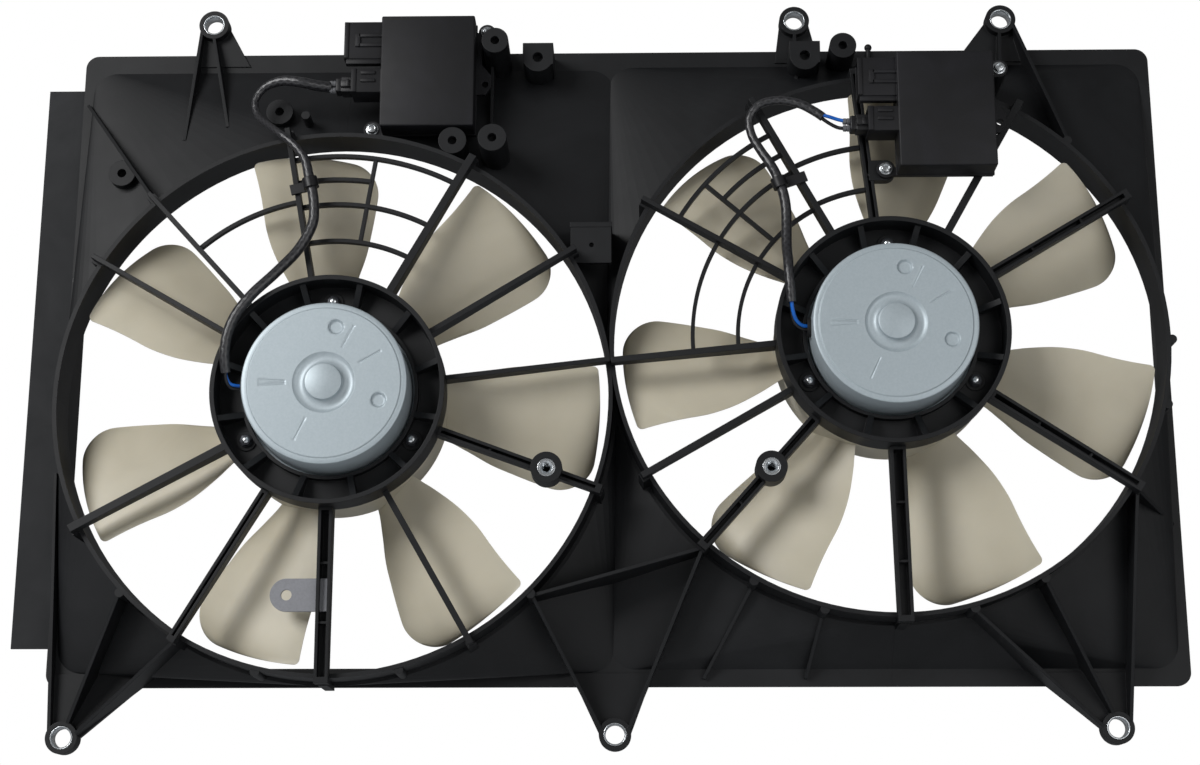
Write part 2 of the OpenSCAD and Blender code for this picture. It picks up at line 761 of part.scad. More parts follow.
module pilot_holes() {
    for (b = round_bosses)
        slab(b[2] + pilot_depth, pilot_depth + eps) translate([b[0], b[1]]) circle(pilot_r);
    for (b = square_bosses)
        slab(b[2] + pilot_depth, pilot_depth + eps) translate([b[0], b[1]]) circle(square_pilot_r);
}

module module_holes() {
    for (ear = ears) module_hole(left_case_at + ear, left_case_back);
    module_hole(right_case_at + ears[1], right_case_back);
}

module module_hole(place, case_back) {
    slab(case_back + module_screw_len + clear, module_screw_len) translate(place)
        circle(module_screw_d / 2 + bush_fit);
}

module shroud_bosses() {
    color(black_plastic)
    difference() {
        panel_bosses();
        shroud_shell();
        pilot_holes();
        module_holes();
    }
}

module tab_bushes() {
    color(zinc)
    for (hole = tabs)
        slab(0, tab_boss_len) translate(hole) ring2d(bush_d / 2, bush_bore / 2);
}

// Motor frames: carrier ring, arms and finger guard
module arm_bar(axis, angle, width, front_hub) {
    meets_web = abs(axis[0] + arm_out * cos(angle) - mid_x) < nub_out;
    rib(polar(axis, arm_in, angle), polar(axis, meets_web ? web_end : arm_out, angle),
        front_hub, max(arm_front, front_hub), arm_back, width);
}

module arm_bars(axis, angles, widths, fronts) {
    for (i = [0:len(angles) - 1]) arm_bar(axis, angles[i], widths[i], fronts[i]);
}

module arm(axis, angle, width, front_hub) {
    front_out = max(arm_front, front_hub);
    channelled = width >= channel_from;
    difference() {
        arm_bar(axis, angle, width, front_hub);
        if (channelled)
            rib(polar(axis, carrier_r + channel_floor, angle), polar(axis, barrel_r, angle),
                front_hub - eps, front_out - eps, arm_back - channel_floor, width - 2 * channel_wall);
    }
    if (channelled)
        for (reach = cross_webs)
            rib(polar(axis, reach, angle), polar(axis, reach + cross_web_t, angle),
                front_out + shy, front_out + shy, arm_back - sink, width - channel_wall);
}

module arc2d(r, start, stop) {
    far = 2 * r;
    intersection() {
        ring2d(r + guard_w / 2, r - guard_w / 2);
        polygon([
            [0, 0], far * [cos(start), sin(start)], far * [cos((start + stop) / 2), sin((start + stop) / 2)],
            far * [cos(stop), sin(stop)]
        ]);
    }
}

module guard(axis, arcs, spoke) {
    back = arm_back - sink;
    front = back - guard_depth;
    for (g = arcs)
        slab(back, guard_depth) translate(axis) arc2d(g[0], g[1], g[2]);
    rib(polar(axis, spoke[1], spoke[0]), polar(axis, spoke[2], spoke[0]), front + shy, front + shy, back - shy, guard_w);
}

module carrier(axis) {
    difference() {
        union() {
            slab(carrier_y, carrier_depth) translate(axis) ring2d(carrier_r, carrier_r - carrier_wall);
            slab(carrier_y, carrier_floor) translate(axis) ring2d(carrier_r - 1, pocket_r);
            slab(carrier_y, collar_depth) translate(axis) ring2d(collar_r, pocket_r);
            for (i = [0:web_count - 1])
                rib(polar(axis, pocket_r + sink, (i + 0.5) * 360 / web_count),
                    polar(axis, carrier_r - sink, (i + 0.5) * 360 / web_count),
                    collar_front + shy, carrier_front + web_drop, carrier_y - sink, web_t);
            for (a = screw_angles)
                at_polar(axis, screw_reach, a) slab(carrier_y, carrier_floor + pad_rise) circle(pad_r);
        }
        slab(carrier_y + eps, carrier_depth) translate(axis) circle(pocket_r - shy / 2);
        for (a = screw_angles)
            at_polar(axis, screw_reach, a)
                slab(carrier_y + eps, carrier_floor + pad_rise + 2 * eps) circle(screw_d / 2 + clear);
    }
}

module left_motor_carrier() color(black_plastic) carrier(left_axis);
module right_motor_carrier() color(black_plastic) carrier(right_axis);

// The arms end flush on the carrier's outer face
module motor_arms(axis, angles, widths, fronts) {
    difference() {
        for (i = [0:len(angles) - 1]) arm(axis, angles[i], widths[i], fronts[i]);
        slab(arm_back + eps, carrier_depth + 2 * eps) translate(axis) circle(carrier_r);
    }
}

module insert_hole(axis, place) {
    at_polar(axis, place[0], place[1])
        slab(arm_back - insert_set, insert_len + 2 * eps) circle(insert_r + bush_fit);
}

module insert_boss(axis, place) {
    at_polar(axis, place[0], place[1]) slab(arm_back - shy, insert_len + insert_set - shy) circle(insert_boss_r);
}

module left_motor_arms() {
    color(black_plastic)
    difference() {
        union() {
            motor_arms(left_axis, left_arms, left_arm_w, left_fronts);
            insert_boss(left_axis, left_insert);
        }
        insert_hole(left_axis, left_insert);
        bracket_slot();
    }
}

module right_motor_arms() {
    color(black_plastic)
    difference() {
        union() {
            motor_arms(right_axis, right_arms, right_arm_w, right_fronts);
            insert_boss(right_axis, right_insert);
            slab(arm_back - shy, arm_back - shy - right_case_back - base_t) translate(right_case_at + ears[0]) {
                circle(frame_boss_r);
                translate([-boss_link, -frame_boss_r]) square([boss_link, 2 * frame_boss_r]);
            }
        }
        insert_hole(right_axis, right_insert);
        slab(arm_back + eps, arm_back + eps - right_case_back)
            translate(right_case_at + ears[0]) circle(module_screw_d / 2 + bush_fit);
    }
}

module left_finger_guard() {
    color(black_plastic)
    difference() {
        guard(left_axis, left_guard, left_guard_rib);
        arm_bars(left_axis, left_arms, left_arm_w, left_fronts);
    }
}

module right_finger_guard() {
    color(black_plastic)
    difference() {
        guard(right_axis, right_guard, right_guard_rib);
        arm_bars(right_axis, right_arms, right_arm_w, right_fronts);
    }
}

module threaded_inserts() {
    color(zinc) {
        insert_ring(left_axis, left_insert);
        insert_ring(right_axis, right_insert);
    }
}

module insert_ring(axis, place) {
    at_polar(axis, place[0], place[1])
        slab(arm_back - insert_set, insert_len) ring2d(insert_r, insert_bore / 2);
}

// Steel bracket on the lowest left arm
bracket_at = polar(left_axis, 131, -90);
bracket_t = 2;
bracket_y = arm_back - 3.4;
bracket_h = 21;
bracket_reach = 24;
bracket_tail = 4;
bracket_hole_r = 3.4;

module bracket_slot() {
    slot_w = 3 * bracket_tail;
    slab(bracket_y + bush_fit, bracket_t + 2 * bush_fit)
        translate(bracket_at - [slot_w, bracket_h + 2 * bush_fit] / 2) square([slot_w, bracket_h + 2 * bush_fit]);
}

module steel_bracket() {
    color(steel)
    slab(bracket_y, bracket_t) difference() {
        union() {
            translate(bracket_at - [bracket_reach, bracket_h / 2]) square([bracket_reach + bracket_tail, bracket_h]);
            translate(bracket_at - [bracket_reach, 0]) circle(bracket_h / 2);
        }
        translate(bracket_at - [bracket_reach, 0]) circle(bracket_hole_r);
    }
}

// Baffle strip behind the left edge of the pan, held by two push clips
baffle_z = [pan_z0 + 26, pan_z1 - 25];
clip_x = pan_x0 + flange_side / 2;
clip_z = [left_axis[1] - 22, left_axis[1] + 95];
clip_hole_r = 1.9;
clip_head_r = flange_side / 2 - clear;
clip_head_t = 1.2;
baffle_lap = flange_side - clear;

module baffle_holes() {
    for (z = clip_z)
        slab(eps, flange_t + 2 * eps) translate([clip_x, z]) circle(clip_hole_r);
}

module side_baffle() {
    color("#3a3b3e")
    slab(baffle_t, baffle_t) difference() {
        translate([pan_x0 - baffle_w, baffle_z[0]]) square([baffle_w + baffle_lap, baffle_z[1] - baffle_z[0]]);
        for (z = clip_z) translate([clip_x, z]) circle(clip_hole_r);
    }
}

module baffle_clips() {
    color(black_plastic)
    for (z = clip_z)
        translate([clip_x, 0, z]) {
            slab(-flange_t, clip_head_t) circle(clip_head_r);
            slab(baffle_t + shy, flange_t + baffle_t + shy) circle(clip_hole_r - bush_fit);
            slab(baffle_t + clip_head_t, clip_head_t) circle(clip_head_r);
        }
}

// Fan: bowl-shaped hub with twisted blades
blade_stations = [0, 0.16, 0.34, 0.52, 0.7, 0.84, 0.93, 0.98, 1];
blade_widths = [24, 28, 31, 31, 29.6, 28.6, 27.5, 26, 23];
blade_drift = [1.5, 1.5, 1, 0.5, -0.3, -0.6, -0.35, 0.3, 1.6];
chord_steps = 8;

function blade_point(i, j, side) =
    let (
        s = blade_stations[i],
        r = (hub_r - 1.2) + s * (fan_tip_r - hub_r + 1.2),
        u = j / chord_steps - 0.5,
        a = blade_drift[i] + u * blade_widths[i],
        depth = root_depth + s * (tip_depth - root_depth),
        mid = fan_front + hub_depth / 2 - 0.5,
        bow = camber * (1 - 4 * u * u) - camber / 2,
        thick = blade_t * (0.42 + 0.58 * (1 - 4 * u * u)) * (1 - 0.35 * s)
    )
    [r * cos(a), mid - u * depth - bow + side * thick / 2, r * sin(a)];

module blade() {
    ns = len(blade_stations);
    nc = chord_steps + 1;
    pts = concat(
        [for (i = [0:ns - 1], j = [0:nc - 1]) blade_point(i, j, -1)],
        [for (i = [0:ns - 1], j = [0:nc - 1]) blade_point(i, j, 1)]
    );
    back = ns * nc;
    quads = [for (i = [0:ns - 2], j = [0:nc - 2]) [i * nc + j, i * nc + j + 1, (i + 1) * nc + j + 1, (i + 1) * nc + j]];
    front_faces = [for (q = quads) each [[q[0], q[1], q[2]], [q[0], q[2], q[3]]]];
    back_faces = [for (q = quads) each [[q[2] + back, q[1] + back, q[0] + back], [q[3] + back, q[2] + back, q[0] + back]]];
    sides = concat(
        [for (i = [0:ns - 2]) each edge_pair(i * nc, (i + 1) * nc, back)],
        [for (i = [0:ns - 2]) each edge_pair((i + 1) * nc + nc - 1, i * nc + nc - 1, back)],
        [for (j = [0:nc - 2]) each edge_pair(j + 1, j, back)],
        [for (j = [0:nc - 2]) each edge_pair((ns - 1) * nc + j, (ns - 1) * nc + j + 1, back)]
    );
    polyhedron(points = pts, faces = concat(front_faces, back_faces, sides));
}

function edge_pair(p, q, back) = [[p, q, q + back], [p, q + back, p + back]];

module fan(axis, phase) {
    color(cream_plastic)
    translate([axis[0], 0, axis[1]])
    difference() {
        union() {
            slab(hub_back, hub_depth) ring2d(hub_r, hub_r - hub_wall);
            slab(hub_back, hub_floor) circle(hub_r - sink);
            slab(hub_back, hub_back - boss_front) circle(boss_r);
            for (i = [0:hub_ribs - 1])
                rotate([0, -360 / hub_ribs * i, 0])
                    rib([boss_r - sink, 0], [hub_r - sink, 0], hub_back - hub_rib_rise[0],
                        hub_back - hub_rib_rise[1], hub_back - sink, hub_rib_t);
            for (i = [0:blade_count - 1])
                rotate([0, -(phase + 360 / blade_count * i), 0]) blade();
        }
        slab(hub_back + eps, hub_depth + 2 * eps) circle(shaft_r + bush_fit);
    }
}

module left_fan() fan(left_axis, left_blade_angle);
module right_fan() fan(right_axis, right_blade_angle);

module shaft(axis) {
    tail = hub_back + washer_t + nut_t + shaft_tail;
    nose = front_seat + sink;
    color(steel)
    slab(tail, tail - nose) translate(axis) circle(shaft_r);
}

module left_shaft() shaft(left_axis);
module right_shaft() shaft(right_axis);

module fan_washer(axis) {
    color(zinc)
    slab(hub_back + washer_t, washer_t) translate(axis) ring2d(washer_r, shaft_r + bush_fit);
}

module left_fan_washer() fan_washer(left_axis);
module right_fan_washer() fan_washer(right_axis);

module fan_nut(axis) {
    color(zinc)
    slab(hub_back + washer_t + nut_t, nut_t) translate(axis) difference() {
        circle(nut_r, $fn = 6);
        circle(shaft_r + bush_fit);
    }
}

module left_fan_nut() fan_nut(left_axis);
module right_fan_nut() fan_nut(right_axis);

// Armature
module armature_core(axis) {
    color("#6d6f73")
    slab(core_front + core_len, core_len) translate(axis) difference() {
        circle(core_r);
        circle(shaft_r + bush_fit);
        for (i = [0:slot_count - 1])
            rotate(360 / slot_count * i) {
                translate([slot_r, 0]) circle(slot_hole_r);
                translate([slot_r, -slot_mouth / 2]) square([core_r, slot_mouth]);
            }
    }
}

module left_armature_core() armature_core(left_axis);
module right_armature_core() armature_core(right_axis);

module windings(axis) {
    color(copper)
    translate([axis[0], 0, axis[1]]) {
        for (back = [core_front - bush_fit, core_front + core_len + winding_end + bush_fit])
            slab(back, winding_end) ring2d(slot_r + winding_r - sink, winding_inner);
        for (i = [0:slot_count - 1])
            rotate([0, -360 / slot_count * i, 0])
                slab(core_front + core_len + sink, core_len + 2 * sink) translate([slot_r, 0]) circle(winding_r);
    }
}

module left_windings() windings(left_axis);
module right_windings() windings(right_axis);

module commutator(axis) {
    color(copper)
    slab(commutator_front + commutator_len, commutator_len) translate(axis) difference() {
        ring2d(commutator_d / 2, shaft_r + bush_fit);
        for (i = [0:2 * slot_count - 1])
            rotate(180 / slot_count * i) translate([commutator_d / 2 - cut_depth, -cut_w / 2]) square([2 * cut_depth, cut_w]);
    }
}

module left_commutator() commutator(left_axis);
module right_commutator() commutator(right_axis);

// Motor housing
module motor_can(axis, grommet_z) {
    side = -sqrt(pow(can_r, 2) - pow(grommet_z - axis[1], 2));
    color(zinc)
    difference() {
        union() {
            slab(can_y + ear_t, can_len + ear_t) translate(axis) circle(can_r);
            slab(can_y + ear_t, ear_t) translate(axis) {
                circle(can_r + can_flange);
                for (a = screw_angles)
                    rotate(a) {
                        translate([screw_reach, 0]) circle(pad_r);
                        translate([0, -pad_r]) square([screw_reach, 2 * pad_r]);
                    }
            }
            slab(can_front + sink, nose_out + sink) translate(axis) circle(nose_r);
        }
        difference() {
            slab(can_y + ear_t + eps, can_len + ear_t + eps - can_wall) translate(axis) circle(can_r - can_wall);
            slab(front_collar_y, front_collar_y - can_front) translate(axis) circle(collar_out);
        }
        slab(front_collar_y + eps, front_collar_y + eps - front_seat) translate(axis)
            circle(bearing_d / 2 + bearing_fit);
        slab(can_front + groove_deep, can_wall) translate(axis) ring2d(groove_r[1], groove_r[0]);
        slab(can_front + edge_step[1], can_wall) translate(axis) ring2d(can_r + can_flange, can_r - edge_step[0]);
        for (place = dimples)
            at_polar(axis, place[0], place[1]) slab(can_front + dimple_deep, can_wall) circle(dimple_r);
        for (a = screw_angles)
            at_polar(axis, screw_reach, a) slab(can_y + ear_t + eps, ear_t + 2 * eps) circle(screw_d / 2 + bush_fit);
        translate([axis[0] + side - 2 * can_wall, grommet_y, grommet_z]) rotate([0, 90, 0])
            cylinder(h = 4 * can_wall, r = lead_d / 2 + grommet_neck + lead_gap);
    }
    for (line = pressed_lines)
        color(zinc) rib(polar(axis, line[0], line[2]), polar(axis, line[1], line[2]),
            can_front - shy, can_front - shy, can_front + shy, pressed_w);
}

module left_motor_can() motor_can(left_axis, left_grommet_z);
module right_motor_can() motor_can(right_axis, right_grommet_z);

module end_plate(axis) {
    cup_r = can_r - cup_inset;
    color(zinc)
    difference() {
        union() {
            slab(flange_y + end_wall, end_wall) translate(axis) circle(can_r + can_flange);
            slab(end_y, end_depth) translate(axis) circle(cup_r);
            slab(rear_seat, rear_seat - end_y + sink) translate(axis) circle(collar_out);
        }
        difference() {
            slab(end_y - end_wall, end_depth - end_wall + eps) translate(axis) circle(cup_r - end_wall);
            slab(end_y, bearing_len / 2 + eps) translate(axis) circle(collar_out);
        }
        slab(rear_seat - bearing_set, 2 * bearing_len) translate(axis) circle(bearing_d / 2 + bearing_fit);
        slab(rear_seat + eps, 2 * sink) translate(axis) circle(shaft_r + sink);
    }
}

module left_end_plate() end_plate(left_axis);
module right_end_plate() end_plate(right_axis);

module magnets(axis) {
    outer = can_r - can_wall - magnet_fit;
    color("#3f4043")
    slab(core_front + core_len + magnet_over, core_len + 2 * magnet_over) translate(axis) intersection() {
        ring2d(outer, outer - magnet_t);
        for (a = [45, 135, 225, 315])
            rotate(a) polygon([
                [0, 0], can_d * [cos(magnet_half), -sin(magnet_half)], [can_d, 0],
                can_d * [cos(magnet_half), sin(magnet_half)]
            ]);
    }
}

module left_magnets() magnets(left_axis);
module right_magnets() magnets(right_axis);

module bearing(axis, back) {
    color("#a88a5a")
    slab(back, bearing_len) translate(axis) ring2d(bearing_d / 2, shaft_r + shaft_gap);
}

module bearings(axis) {
    bearing(axis, front_seat + bearing_len);
    bearing(axis, rear_seat - bearing_set);
}

module motor_bearings() {
    bearings(left_axis);
    bearings(right_axis);
}

// Brush gear: four brushes in boxes on a round card
module each_brush(axis) {
    for (a = [45, 135, 225, 315])
        translate([axis[0], brush_y, axis[1]]) rotate([0, -a, 0]) children();
}

module brush_holder(axis) {
    inner = commutator_d / 2 + 2 * box_wall;
    box_h = brush_h + 2 * box_wall;
    color("#7a4a2c")
    difference() {
        union() {
            slab(card_y, card_t) translate(axis) ring2d(card_r, collar_out + clear);
            each_brush(axis)
                translate([inner, -box_h / 2, -brush_w / 2 - box_wall])
                    cube([box_end - inner, card_y - brush_y + box_h / 2 - shy, brush_w + 2 * box_wall]);
        }
        each_brush(axis)
            translate([0, -brush_h / 2 - brush_fit, -brush_w / 2 - brush_fit])
                cube([box_end - box_wall, brush_h + 2 * brush_fit, brush_w + 2 * brush_fit]);
    }
}

module left_brush_holder() brush_holder(left_axis);
module right_brush_holder() brush_holder(right_axis);

module brushes(axis) {
    color("#2c2c2e")
    each_brush(axis)
        translate([commutator_d / 2 + brush_gap, -brush_h / 2, -brush_w / 2]) cube([brush_len, brush_h, brush_w]);
}

module left_brushes() brushes(left_axis);
module right_brushes() brushes(right_axis);

spring_turns = 4;
spring_steps = 8;
spring_r = 1.8;
spring_wire = 0.35;
spring_sides = 5;

function coil_point(k, len) =
    let (a = 360 * k / spring_steps)
    [len * k / (spring_turns * spring_steps), spring_r * cos(a), spring_r * sin(a)];

module brush_springs(axis) {
    start = commutator_d / 2 + brush_gap + brush_len + spring_wire;
    len = box_end - box_wall - start - spring_wire;
    path = [for (k = [0:spring_turns * spring_steps]) [start, 0, 0] + coil_point(k, len)];
    color(steel)
    each_brush(axis) sweep(path, spring_wire, spring_sides, [1, 0, 0]);
}

module left_brush_springs() brush_springs(left_axis);
module right_brush_springs() brush_springs(right_axis);

// A round bar swept along a list of points, each ring square to the path
function unit(v) = v / norm(v);
function heading(path, i) =
    unit(path[min(i + 1, len(path) - 1)] - path[max(i - 1, 0)]);

module sweep(path, r, sides, up) {
    n = len(path);
    pts = [
        for (i = [0:n - 1])
            let (t = heading(path, i), s = unit(cross(t, up)), v = cross(s, t))
            for (j = [0:sides - 1])
                path[i] + r * cos(360 * j / sides) * s + r * sin(360 * j / sides) * v
    ];
    walls = [
        for (i = [0:n - 2], j = [0:sides - 1])
            let (a = i * sides + j, b = i * sides + (j + 1) % sides)
            each [[a, b, b + sides], [a, b + sides, a + sides]]
    ];
    caps = [[for (j = [sides - 1:-1:0]) j], [for (j = [0:sides - 1]) (n - 1) * sides + j]];
    polyhedron(points = pts, faces = concat(walls, caps));
}

// Hexagon heads of all screws: radius, and the screws' own washers
hex_r = 3.9;
motor_washer_r = 4.3;
motor_head_h = 3;
motor_screw_past = 2;

module motor_screws() {
    head_back = carrier_y - carrier_floor - pad_rise;
    color(steel)
    for (axis = [left_axis, right_axis], a = screw_angles)
        at_polar(axis, screw_reach, a) {
            slab(head_back, sink) circle(motor_washer_r);
            slab(head_back - sink, motor_head_h) circle(hex_r, $fn = 6);
            slab(flange_y + motor_screw_past, flange_y + motor_screw_past - head_back + eps) circle(screw_d / 2);
        }
}

// Grommet in the side of the can, for the lead
module grommet(axis, z) {
    neck_r = lead_d / 2 + grommet_neck;
    color("#1b1b1d")
    translate([grommet_x(axis, z), grommet_y, z]) rotate([0, 90, 0]) difference() {
        union() {
            translate([0, 0, -grommet_out]) cylinder(h = grommet_out - lead_gap, r = neck_r + grommet_lip);
            translate([0, 0, -clear]) cylinder(h = can_wall + clear / 2, r = neck_r);
        }
        translate([0, 0, -grommet_out - eps]) cylinder(h = 2 * (grommet_out + can_wall), r = lead_d / 2 + lead_gap);
    }
}

module left_grommet() grommet(left_axis, left_grommet_z);
module right_grommet() grommet(right_axis, right_grommet_z);

module left_motor_lead() {
    color("#1d1d1f") sweep(left_route, lead_d / 2, lead_sides, [0, 1, 0]);
}

module right_motor_lead() {
    color("#1d1d1f") sweep(right_route, lead_d / 2, lead_sides, [0, 1, 0]);
}

// A clip's ring goes round one segment of a lead's route, and its foot grips the arm beside it
module lead_clip(route, at, axis, angle, width) {
    p = route[at];
    q = route[at + 1];
    mid = (p + q) / 2;
    place = [mid[0], mid[2]] - axis;
    bore = lead_d / 2 + lead_gap;
    // Sideways distance from the lead to the arm, and the arm's front face there
    aside = place[1] * cos(angle) - place[0] * sin(angle);
    face = hub_front + arm_gain * (norm(place) - arm_in) / (arm_out - arm_in) - clear - mid[1];
    lip = width / 2 + 2 * clear;
    color("#1d1d1f")
    translate(mid) rotate([0, -atan2(q[2] - p[2], q[0] - p[0]), 0]) difference() {
        union() {
            rotate([0, 90, 0]) cylinder(h = clip_len, r = bore + clip_wall, center = true);
            translate([-clip_len / 2, face - clip_plate, min(0, aside - lip - clip_wall)])
                cube([clip_len, clip_plate, abs(aside) + lip + clip_wall]);
            for (z = [aside - lip - clip_wall, aside + lip])
                translate([-clip_len / 4, face - eps, z]) cube([clip_len / 2, arm_depth / 2 + eps, clip_wall]);
        }
        rotate([0, 90, 0]) cylinder(h = 2 * clip_len, r = bore, center = true);
    }
}

module wire_clips() {
    lead_clip(left_route, left_clip_at, left_axis, left_arms[2], left_arm_w[2]);
    lead_clip(right_route, right_clip_at, right_axis, right_arms[1], right_arm_w[1]);
}

// Plug on the lead's end, and the control modules
module lead_plug(at, back) {
    mouth = plug_mouth(at);
    color(black_plastic)
    translate([mouth, module_mid(back), at[1] + plug_up]) difference() {
        translate([0, -plug_depth / 2, -plug_h / 2])
            cube([at[0] - socket_end - clear - mouth, plug_depth, plug_h]);
        translate([-eps, 0, 0]) rotate([0, 90, 0])
            cylinder(h = plug_grip + 2 * eps, r = lead_d / 2 + lead_gap);
    }
}

module left_lead_plug() lead_plug(left_case_at, left_case_back);
module right_lead_plug() lead_plug(right_case_at, right_case_back);

module socket(at, up, size, depth, y_mid) {
    translate([at[0] - size[0], y_mid - depth / 2, at[1] + up]) difference() {
        cube([size[0] + eps / 10, depth, size[1]]);
        translate([-eps, socket_wall, socket_wall])
            cube([size[0] + eps - socket_end, depth - 2 * socket_wall, size[1] - 2 * socket_wall]);
    }
}

module module_case(at, back) {
    color(black_plastic)
    union() {
        difference() {
            slab(back, case_depth) box2d(at[0], at[1], at[0] + case_size[0], at[1] + case_size[1], case_corner);
            slab(back + eps, case_depth - case_wall + eps)
                translate(at + [case_wall, case_wall])
                    square(case_size - [2 * case_wall, 2 * case_wall]);
        }
        socket(at, harness_up, harness_socket, harness_depth, module_mid(back));
        socket(at, lead_up, lead_socket, case_depth - 2 * clear, module_mid(back));
    }
}

module left_module_case() module_case(left_case_at, left_case_back);
module right_module_case() module_case(right_case_at, right_case_back);

module module_base(at, back) {
    color("#303134")
    slab(back + base_t, base_t) translate(at) difference() {
        union() {
            square(case_size);
            translate([case_size[0], 0]) polygon(tongue);
            for (ear = ears) {
                translate(ear) circle(ear_r);
                translate([min(ear[0], 0), max(ear[1] - ear_r, 0)]) square([abs(ear[0]) + 1, ear_r]);
            }
        }
        for (ear = ears) translate(ear) circle(module_screw_d / 2 + clear);
        translate([case_size[0], 0] + tongue_hole) circle(tongue_hole_r);
    }
}

module left_module_base() module_base(left_case_at, left_case_back);
module right_module_base() module_base(right_case_at, right_case_back);

// Circuit board inside a case, with its plug pins, capacitors and power switch block
board_t = 1.6;
board_back = 4;
pin_pitch = 13;
pin_r = 2;
can_pitch = 26;
capacitor_r = 7;
capacitor_h = 9;
// Places on the board, from its lower left corner
first_pin = [8, 12];
capacitor_x = 16;
capacitor_down = 18;
block_at = [10, 28];
block_size = [6, 14];

module circuit_board(at, back) {
    edge = case_wall + 2 * clear;
    w = case_size[0] - 2 * edge;
    h = case_size[1] - 2 * edge;
    color("#2f6b3f")
    translate([at[0] + edge, back - board_back, at[1] + edge]) {
        translate([0, -board_t, 0]) cube([w, board_t, h]);
        for (i = [0:3])
            translate([first_pin[0] + pin_pitch * i, board_back - clear, first_pin[1]])
                rotate([90, 0, 0]) cylinder(h = board_back, r = pin_r);
        for (i = [0:1])
            translate([capacitor_x + can_pitch * i, -board_t / 2, h - capacitor_down])
                rotate([90, 0, 0]) cylinder(h = capacitor_h, r = capacitor_r);
        translate([block_at[0], -board_t / 2 - block_size[0], block_at[1]])
            cube([w - 2 * block_at[0], block_size[0], block_size[1]]);
    }
}

module left_circuit_board() circuit_board(left_case_at, left_case_back);
module right_circuit_board() circuit_board(right_case_at, right_case_back);

washer_h = 0.8;
head_h = 2.4;
washer_out = 2.4;

module screws_of(at, back) {
    for (ear = ears)
        translate([at[0] + ear[0], 0, at[1] + ear[1]]) {
            slab(back, washer_h) circle(module_screw_d / 2 + washer_out);
            slab(back - washer_h, head_h) circle(hex_r, $fn = 6);
            slab(back + module_screw_len, module_screw_len + eps) circle(module_screw_d / 2);
        }
}

module module_screws() {
    color(zinc) {
        screws_of(left_case_at, left_case_back);
        screws_of(right_case_at, right_case_back);
    }
}

left_pan();
right_pan();
left_barrel();
right_barrel();
shroud_ribs();
shroud_bosses();
left_motor_carrier();
left_motor_arms();
left_finger_guard();
right_motor_carrier();
right_motor_arms();
right_finger_guard();
tab_bushes();
threaded_inserts();
side_baffle();
baffle_clips();
steel_bracket();
wire_clips();
motor_bearings();
motor_screws();
module_screws();
left_fan();
left_shaft();
left_armature_core();
left_windings();
left_commutator();
left_fan_washer();
left_fan_nut();
left_motor_can();
left_end_plate();
left_magnets();
left_brush_holder();
left_brushes();
left_brush_springs();
left_grommet();
left_motor_lead();
left_lead_plug();
left_module_case();
left_module_base();
left_circuit_board();
right_fan();
right_shaft();
right_armature_core();
right_windings();
right_commutator();
right_fan_washer();
right_fan_nut();
right_motor_can();
right_end_plate();
right_magnets();
right_brush_holder();
right_brushes();
right_brush_springs();
right_grommet();
right_motor_lead();
right_lead_plug();
right_module_case();
right_module_base();
right_circuit_board();
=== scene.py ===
# Twin-fan radiator cooling assembly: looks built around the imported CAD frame, in metres.
import math

import bmesh
import bpy
from mathutils import Matrix, Vector


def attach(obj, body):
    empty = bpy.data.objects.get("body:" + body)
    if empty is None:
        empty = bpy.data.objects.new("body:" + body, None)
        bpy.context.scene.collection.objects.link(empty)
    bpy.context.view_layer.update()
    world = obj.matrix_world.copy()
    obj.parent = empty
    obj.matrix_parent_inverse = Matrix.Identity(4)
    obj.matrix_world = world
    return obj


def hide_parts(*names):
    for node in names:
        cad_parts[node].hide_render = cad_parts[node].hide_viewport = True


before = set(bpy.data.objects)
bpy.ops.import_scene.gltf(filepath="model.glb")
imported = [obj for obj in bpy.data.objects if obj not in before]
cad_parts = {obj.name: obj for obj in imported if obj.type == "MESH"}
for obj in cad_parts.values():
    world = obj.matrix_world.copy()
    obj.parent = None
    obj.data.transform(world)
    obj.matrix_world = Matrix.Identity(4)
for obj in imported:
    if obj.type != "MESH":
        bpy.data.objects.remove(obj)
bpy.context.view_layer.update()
print("frame loaded:", len(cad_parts), "nodes")

mm = 0.001
sides = {"left": (-183.51, 214.6), "right": (180.21, 252.6)}  # fan axes: X and Z in millimetres
mergeReach = 1e-6  # points closer than this, in metres, are one


# Small tools

def linear(hexText):
    # sRGB hex turned to the linear numbers that the sockets take
    values = [int(hexText[i:i + 2], 16) / 255 for i in (1, 3, 5)]
    return [v / 12.92 if v <= 0.04045 else ((v + 0.055) / 1.055) ** 2.4 for v in values] + [1.0]


def addNode(tree, kind, inputs=None, **settings):
    node = tree.nodes.new(kind)
    for name, value in settings.items():
        setattr(node, name, value)
    for key, value in (inputs or {}).items():
        if isinstance(value, bpy.types.NodeSocket):
            tree.links.new(value, node.inputs[key])
        else:
            node.inputs[key].default_value = value
    return node


def startMaterial(name, **sockets):
    material = bpy.data.materials.new(name)
    material.use_nodes = True
    tree = material.node_tree
    shader = tree.nodes["Principled BSDF"]
    for key, value in sockets.items():
        shader.inputs[key.replace("_", " ")].default_value = value
    coords = addNode(tree, "ShaderNodeTexCoord").outputs["Object"]
    return material, tree, shader, coords


def perMetre(sizeMm):
    return 1000 / sizeMm  # pattern scale for one repeat in sizeMm


def polar(axis, reach, angle):
    # the place at this reach and angle round an axis, at Y 0
    a = math.radians(angle)
    return Vector(((axis[0] + reach * math.cos(a)) * mm, 0, (axis[1] + reach * math.sin(a)) * mm))


